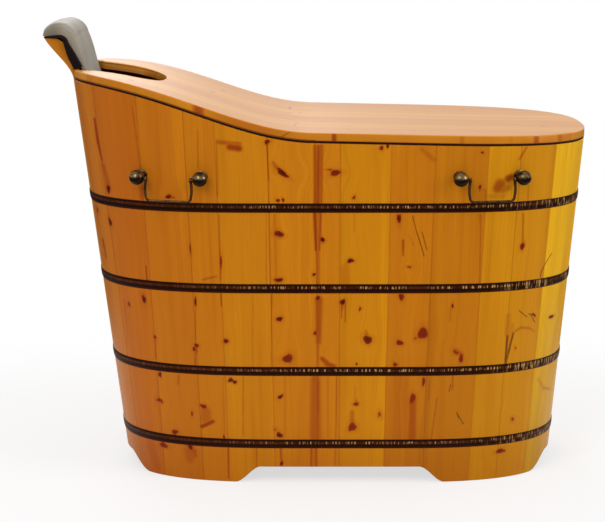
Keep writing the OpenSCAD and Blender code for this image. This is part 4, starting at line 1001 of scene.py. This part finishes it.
def makeSeal():
    # black strip between the rim and the lid, following both
    gap, wide, tall, inset = lid["clear"], .010, .0039, .0003
    end = backS + 2 * lid["backGap"]
    s = np.arange(end, 2 * halfRound - end, .005)
    a, b = rimAt(s, inset), rimAt(s, inset + wide)
    outer, inner = shell(s, a, inset), shell(s, b, inset + wide)
    low, high = np.array([0, 0, gap]), np.array([0, 0, gap + tall])
    loop = np.stack([outer + low, outer + high, inner + high, inner + low], 1)
    m = len(s)
    faces = list(gridFaces(m, 4, closeCols=True)) + [[0, 1, 2, 3], list(range(4 * m - 4, 4 * m))[::-1]]
    piece = newPiece("lidSeal", loop, faces, "lid", sealRubber)
    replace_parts(piece, "lid_seal")


makeSeal()

# Handles
handle = dict(ballZ=.639, headAt=.2594, footAt=.7171, gap=.120, ball=.030, out=.020, rod=.0056, drop=.043,
              low=.003, bend=.009, legIn=.0036, pin=.006, seat=.0004, plate=.0025, stud=.006, bow=.0017)


def sAtX(x, z):
    s = float(np.interp(pAtX(np.array(x), np.array(z)), pathP, pathS))
    for _ in range(8):
        s += x - float(shell(s, z)[0])
    return s


def postAt(x, side):
    s = sAtX(x, handle["ballZ"])
    z, step = handle["ballZ"], .001
    c, inside, above = shell(s, z), shell(s, z, step), shell(s, z + step)
    n = (c - inside) / step
    n[2] = -((above - c)[:2] @ n[:2]) / step
    n /= np.linalg.norm(n)
    flip = np.array([1, -side, 1])
    return c * flip, n * flip


def addGrid(points, faces, grid):
    # adds a closed grid of points to the lists of a piece's points and faces
    faces += list(gridFaces(grid.shape[0], grid.shape[1], closeCols=True, start=sum(len(p) for p in points)))
    points.append(grid.reshape(-1, 3))


def makePost(base, out):
    # a ball with a collar and a waisted stem, turned about the post's own axis
    r = handle["ball"] / 2
    a = np.linspace(np.pi - .42, 0, 26)
    ball = [(r * np.sin(t), handle["out"] + r * np.cos(t)) for t in a]
    stud, end, face = handle["stud"] / 2, -tub["staveT"] - .009, handle["seat"] + handle["plate"]
    stem = [(0, end), (stud - .0005, end), (stud, end + .0005), (stud, handle["seat"]), (.0075, face - .0004),
            (.0078, face + .0006), (.0068, .0052), (.0054, .0066), (.0050, .0085), (.0054, .0102)]
    return lathe(stem + ball[:-1] + [(0, handle["out"] + r)], base, out)


def makePosts():
    points, faces, ends = [], [], []
    for side in (-1, 1):
        for share in (handle["headAt"], handle["footAt"]):
            x = float(shell(share * halfRound, handle["ballZ"])[0])
            pair = []
            for step in (-1, 1):
                base, out = postAt(x + step * handle["gap"] / 2, side)
                addGrid(points, faces, makePost(base, out))
                pair.append(base + handle["out"] * out)
            ends.append(pair)
    piece = newPiece("ballPosts", np.concatenate(points), faces, "tub", agedBronze,
                     merge=.00001, sharp=50)
    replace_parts(piece, "handle_posts")
    return ends


def makeBail(name, body, node, ends):
    a, b = (np.array(e) for e in ends)
    a[2] = b[2] = (a[2] + b[2]) / 2 - handle["low"]
    along = (b - a) / np.linalg.norm(b - a)
    centre = (a + b) / 2
    leg = np.linalg.norm(b - a) / 2 - handle["ball"] / 2 - handle["legIn"]
    drop, bend, r = handle["drop"], handle["bend"], handle["rod"] / 2
    # a flat path: down one leg with a slight bow, round the bend, along the grip, and up the other leg
    t = np.linspace(0, 1, 14)
    down = np.stack([leg + handle["bow"] * np.sin(np.pi * t ** 1.2), -t * (drop - bend)], -1)
    q = np.linspace(0, quarter, 9)[1:]
    turn = np.stack([leg - bend * (1 - np.cos(q)), -(drop - bend) - bend * np.sin(q)], -1)
    half = np.concatenate([down, turn])
    grip = np.stack([np.linspace(leg - bend, -(leg - bend), 14)[1:-1], np.full(12, -drop)], -1)
    line = np.concatenate([half, grip, half[::-1] * [-1, 1]])
    tangent = np.gradient(line, axis=0)
    tangent /= np.linalg.norm(tangent, axis=1)[:, None]
    normal = np.stack([-tangent[:, 1], tangent[:, 0]], -1)
    up = np.array([0, 0, 1.0])
    flat = np.cross(along, up)

    def lift(pairs):
        return pairs[:, :1] * along + pairs[:, 1:] * up
    thick = r * (1 - .06 * np.exp(-((line[:, 1] + drop) / .012) ** 2))     # worn thinner along the grip
    angle = np.linspace(0, 2 * np.pi, 16, endpoint=False)
    cos, sin = np.cos(angle)[None, :, None], np.sin(angle)[None, :, None]
    ring = thick[:, None, None] * (cos * lift(normal)[:, None, :] + sin * flat)
    tube = (centre + lift(line))[:, None, :] + ring
    m, n = tube.shape[:2]
    points = [tube.reshape(-1, 3)]
    faces = list(gridFaces(m, n, closeCols=True)) + [list(range(n))[::-1], list(range((m - 1) * n, m * n))]
    for side in (-1, 1):        # a turned eye at each leg's top, with its pin into the ball
        end = handle["legIn"] + handle["pin"]
        profile = [(0, -.0024), (.0042, -.0024), (.0052, -.0014), (.0055, 0), (.0052, .0012), (.0042, .0021),
                   (.0029, .0023), (r, .0026), (r, end - .0004), (r - .0004, end), (0, end)]
        addGrid(points, faces, lathe(profile, centre + side * leg * along, side * along, 32))
    piece = newPiece(name, np.concatenate(points), faces, body, darkBronze, merge=.00001, sharp=50)
    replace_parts(piece, node)


ballEnds = makePosts()
for key, pair in zip(("right_head", "right_foot", "left_head", "left_foot"), ballEnds):
    makeBail(key + "_swingBail", key + "_handle", key + "_bail", pair)
print("handles made")

# Pillow and its backing
pillow = dict(width=.228, gap=.001, backing=.006, low=.752, edge=.007, crown=.009, top=.0255, edgeRound=.016,
              wideFrom=.8385, wide=.2664, lip=.0085)


def restLine(count):
    # the raised back's inner face from the pillow's lower end up, over its rounded edge and along its top
    restZ = tub["backH"] - tub["backEdge"]
    z = np.linspace(pillow["low"], restZ, 60)
    face = np.stack([headX(z) + tub["staveT"] - neckBack(z), z], -1)
    a = np.linspace(0, quarter, 16)[1:]
    r = tub["backEdge"]
    edge = np.stack([face[-1, 0] - r * (1 - np.cos(a)), restZ + r * np.sin(a)], -1)
    last = headX(tub["backH"]) - flare(tub["backH"]) - tub["nose"]
    top = np.stack([np.linspace(edge[-1, 0], last, 16)[1:], np.full(15, tub["backH"])], -1)
    line = np.concatenate([face, edge, top])
    dist = np.concatenate([[0], np.cumsum(np.linalg.norm(np.diff(line, axis=0), axis=1))])
    at = np.linspace(0, dist[-1], count)
    line = np.stack([np.interp(at, dist, line[:, k]) for k in (0, 1)], -1)
    d = np.gradient(line, axis=0)
    d /= np.linalg.norm(d, axis=1)[:, None]
    for _ in range(14):
        d[1:-1] = (d[:-2] + 2 * d[1:-1] + d[2:]) / 4
    d /= np.linalg.norm(d, axis=1)[:, None]
    return line, np.stack([d[:, 1], -d[:, 0]], -1), at


def padPoints(line, normal, y, far):
    # a point at width y and a distance far from the rest line, swung with the tub's curve
    p = line[:, None, :] + normal[:, None, :] * far[..., None]
    z = line[:, None, 1]
    swing = wallX(y, z) - wallX(0 * y, z)
    return np.stack([p[..., 0] + swing, y + 0 * p[..., 0], p[..., 1]], -1)


def endRound(d, r, keep):
    # how much of the full height stands at a distance d from an edge rounded over r
    t = np.clip(d / r, 0, 1)
    return keep + (1 - keep) * np.sqrt(np.clip(1 - (1 - t) ** 2, 0, 1))


def backingTop(at, length):
    # the backing thins out towards the pillow's nose
    return pillow["gap"] + pillow["backing"] * (1 - .6 * smooth((at / length - .78) / .22))


def makePad(name, node, material, count, width, thickness, waist):
    line, normal, at = restLine(count)
    edge = np.sin(np.linspace(-quarter, quarter, 41))
    edge = np.sign(edge) * np.abs(edge) ** .8
    half = width / 2 * (1 - waist * np.sin(np.pi * at / at[-1]) ** 2)
    y = half[:, None] * edge[None, :]
    base = backingTop(at, at[-1])[:, None] + .0001 + 0 * y
    far = base + thickness(at[:, None], at[-1], np.abs(edge)[None, :], half[:, None])
    top = padPoints(line, normal, y, far)
    low = padPoints(line, normal, y[:, ::-1], base)
    loop = np.concatenate([top, low], 1)
    m, n = loop.shape[:2]
    faces = list(gridFaces(m, n, closeCols=True))
    for row in (0, m - 1):     # both ends are closed by strips between the top and bottom of the section
        k = np.arange(40)
        faces += [[row * n + a, row * n + a + 1, row * n + n - 2 - a, row * n + n - 1 - a] for a in k]
    piece = newPiece(name, loop, faces, "pillow", material, sharp=60)
    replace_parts(piece, node)
    return piece


def pillowThick(at, length, across, half):
    rise = smooth((at / length - .3) / .5)
    e, c = mix(pillow["edge"], pillow["top"], rise), mix(pillow["crown"], pillow["top"] + .001, rise)
    full = e + (c - e) * np.sqrt(np.clip(1 - across ** 2.6, 0, 1))
    side = endRound((1 - across) * half, pillow["edgeRound"], .66)
    ends = endRound(at, .014, .3) * endRound(length - at, .036, .06)
    return full * side * ends


def makeBacking():
    # a flat pad on the rest line; above the lid it widens to the whole raised back and laps over its edges
    line, normal, at = restLine(110)
    k = int(np.argmax(line[:, 1] > pillow["wideFrom"]))
    rows = np.concatenate([np.arange(k + 1), np.arange(k, len(at))])
    wide = np.arange(len(rows)) > k
    line, normal, at = line[rows], normal[rows], at[rows]
    half = np.where(wide, pillow["wide"] / 2, pillow["width"] / 2 - .001)
    lip = np.where(wide, pillow["lip"] * (1 - 1.1 * smooth((at / at[-1] - .58) / .25)), -pillow["gap"])
    inner = half - .0011
    low, high = 0 * half + pillow["gap"], backingTop(at, at[-1])
    y = np.stack([-half, -half, -half + .001, half - .001, half, half, inner, inner, -inner, -inner], 1)
    far = np.stack([-lip, high - .001, high, high, high - .001, -lip, -lip, low, low, -lip], 1)
    loop = padPoints(line, normal, y, far)
    m, n = loop.shape[:2]
    faces = list(gridFaces(m, n, closeCols=True))
    for row in (0, m - 1):
        faces += [[row * n + i for i in part] for part in ((0, 1, 8, 9), (1, 2, 3, 4, 7, 8), (4, 5, 6, 7))]
    piece = newPiece("pillowBase", loop, faces, "pillow", backingFoam, sharp=50, merge=.00002)
    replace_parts(piece, "pillow_backing")


makeBacking()
softPillow = makePad("neckPillow", "neck_pillow", pillowSkin, 90, pillow["width"],
                     pillowThick, .006)
print("pillow made")

# Pieces that keep their CAD shape
keptLooks = {innerPine: ("floor_boards", "floor_battens", "seat_boards", "seat_cleats", "lid_battens"),
             plainSteel: ("floor_screws", "lid_screws", "drain_flange", "drain_nut", "handle_nuts"),
             sealRubber: ("drain_washer",), agedBronze: ("drain_plug", "handle_plates", "hoop_rivets")}
for material, names in keptLooks.items():
    for name in names:
        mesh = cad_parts[name].data
        mesh.materials.clear()
        mesh.materials.append(material)


# Floor, lights and camera
def makeStudio():
    bpy.ops.mesh.primitive_plane_add(size=8, location=(0, 0, 0))
    ground = bpy.context.object
    ground.name = "ground"
    mat, tree, shader = newMaterial("paleFloor", **{"Base Color": (.93, .93, .93, 1), "Roughness": .9,
                                                    "Specular IOR Level": .1})
    where = addNode(tree, "TexCoord").outputs["Object"]
    oval = stretched(tree, where, (.8, 1.1, 1))
    far = addNode(tree, "VectorMath", {0: oval}, operation="LENGTH").outputs["Value"]
    bright = addNode(tree, "Emission", {"Color": (1, 1, 1, 1), "Strength": 1.0})
    eye = addNode(tree, "LightPath").outputs["Is Camera Ray"]
    clear = addNode(tree, "BsdfTransparent")
    lit = addNode(tree, "MixShader", {0: times(tree, eye, .66), 1: shader.outputs[0], 2: bright.outputs[0]})
    fade = ramp(tree, far, .62, 1.5, 0.0, 1.0)
    shown = addNode(tree, "MixShader", {0: fade, 1: lit.outputs[0], 2: clear.outputs[0]})
    tree.links.new(shown.outputs[0], tree.nodes["Material Output"].inputs[0])
    ground.data.materials.append(mat)
    world = bpy.data.worlds.new("studio")
    scene.world = world
    world.use_nodes = True
    tree = world.node_tree
    tree.nodes.clear()
    rays = addNode(tree, "LightPath").outputs
    up = addNode(tree, "SeparateXYZ", {0: addNode(tree, "TexCoord").outputs["Generated"]}).outputs[2]
    mirrored = times(tree, rays["Is Glossy Ray"], ramp(tree, up, -.05, .08, .05, 1.0))
    direct = mathNode(tree, "MAXIMUM", rays["Is Camera Ray"], rays["Is Transmission Ray"])
    other = mathNode(tree, "SUBTRACT", 1.0, mathNode(tree, "MAXIMUM", direct, rays["Is Glossy Ray"]))
    strength = timesPlus(tree, other, .62, mathNode(tree, "MAXIMUM", direct, mirrored))
    sky = addNode(tree, "Background", {"Color": (1, 1, 1, 1), "Strength": strength})
    out = addNode(tree, "OutputWorld")
    tree.links.new(sky.outputs[0], out.inputs[0])
    lamps = (("key", (-1.6, -3.2, 2.9), 2.6, 62), ("side", (3.2, -1.4, 1.9), 2.2, 46),
             ("back", (-1.0, 3.2, 2.6), 2.6, 40))
    for name, place, size, power in lamps:      # size in metres, power in watts
        lamp = bpy.data.lights.new(name, "AREA")
        lamp.shape, lamp.size, lamp.energy = "DISK", size, power
        obj = bpy.data.objects.new(name, lamp)
        scene.collection.objects.link(obj)
        obj.location = place
        toTub = np.array([0, 0, .45]) - np.array(place)
        obj.rotation_euler = Vector(toTub).to_track_quat("-Z", "Y").to_euler()


def makeCamera():
    cam = bpy.data.cameras.new("photoView")
    cam.sensor_width, cam.lens, cam.sensor_fit = photo["sensor"], photo["lens"], "HORIZONTAL"
    cam.clip_end = 100
    obj = bpy.data.objects.new("photoView", cam)
    scene.collection.objects.link(obj)
    obj.location = (photo["x"], photo["y"], photo["z"])
    obj.rotation_euler = (np.radians(90 - photo["tilt"]), 0, 0)
    scene.camera = obj


makeStudio()
makeCamera()
scene.view_settings.view_transform = "Standard"
print("studio made")
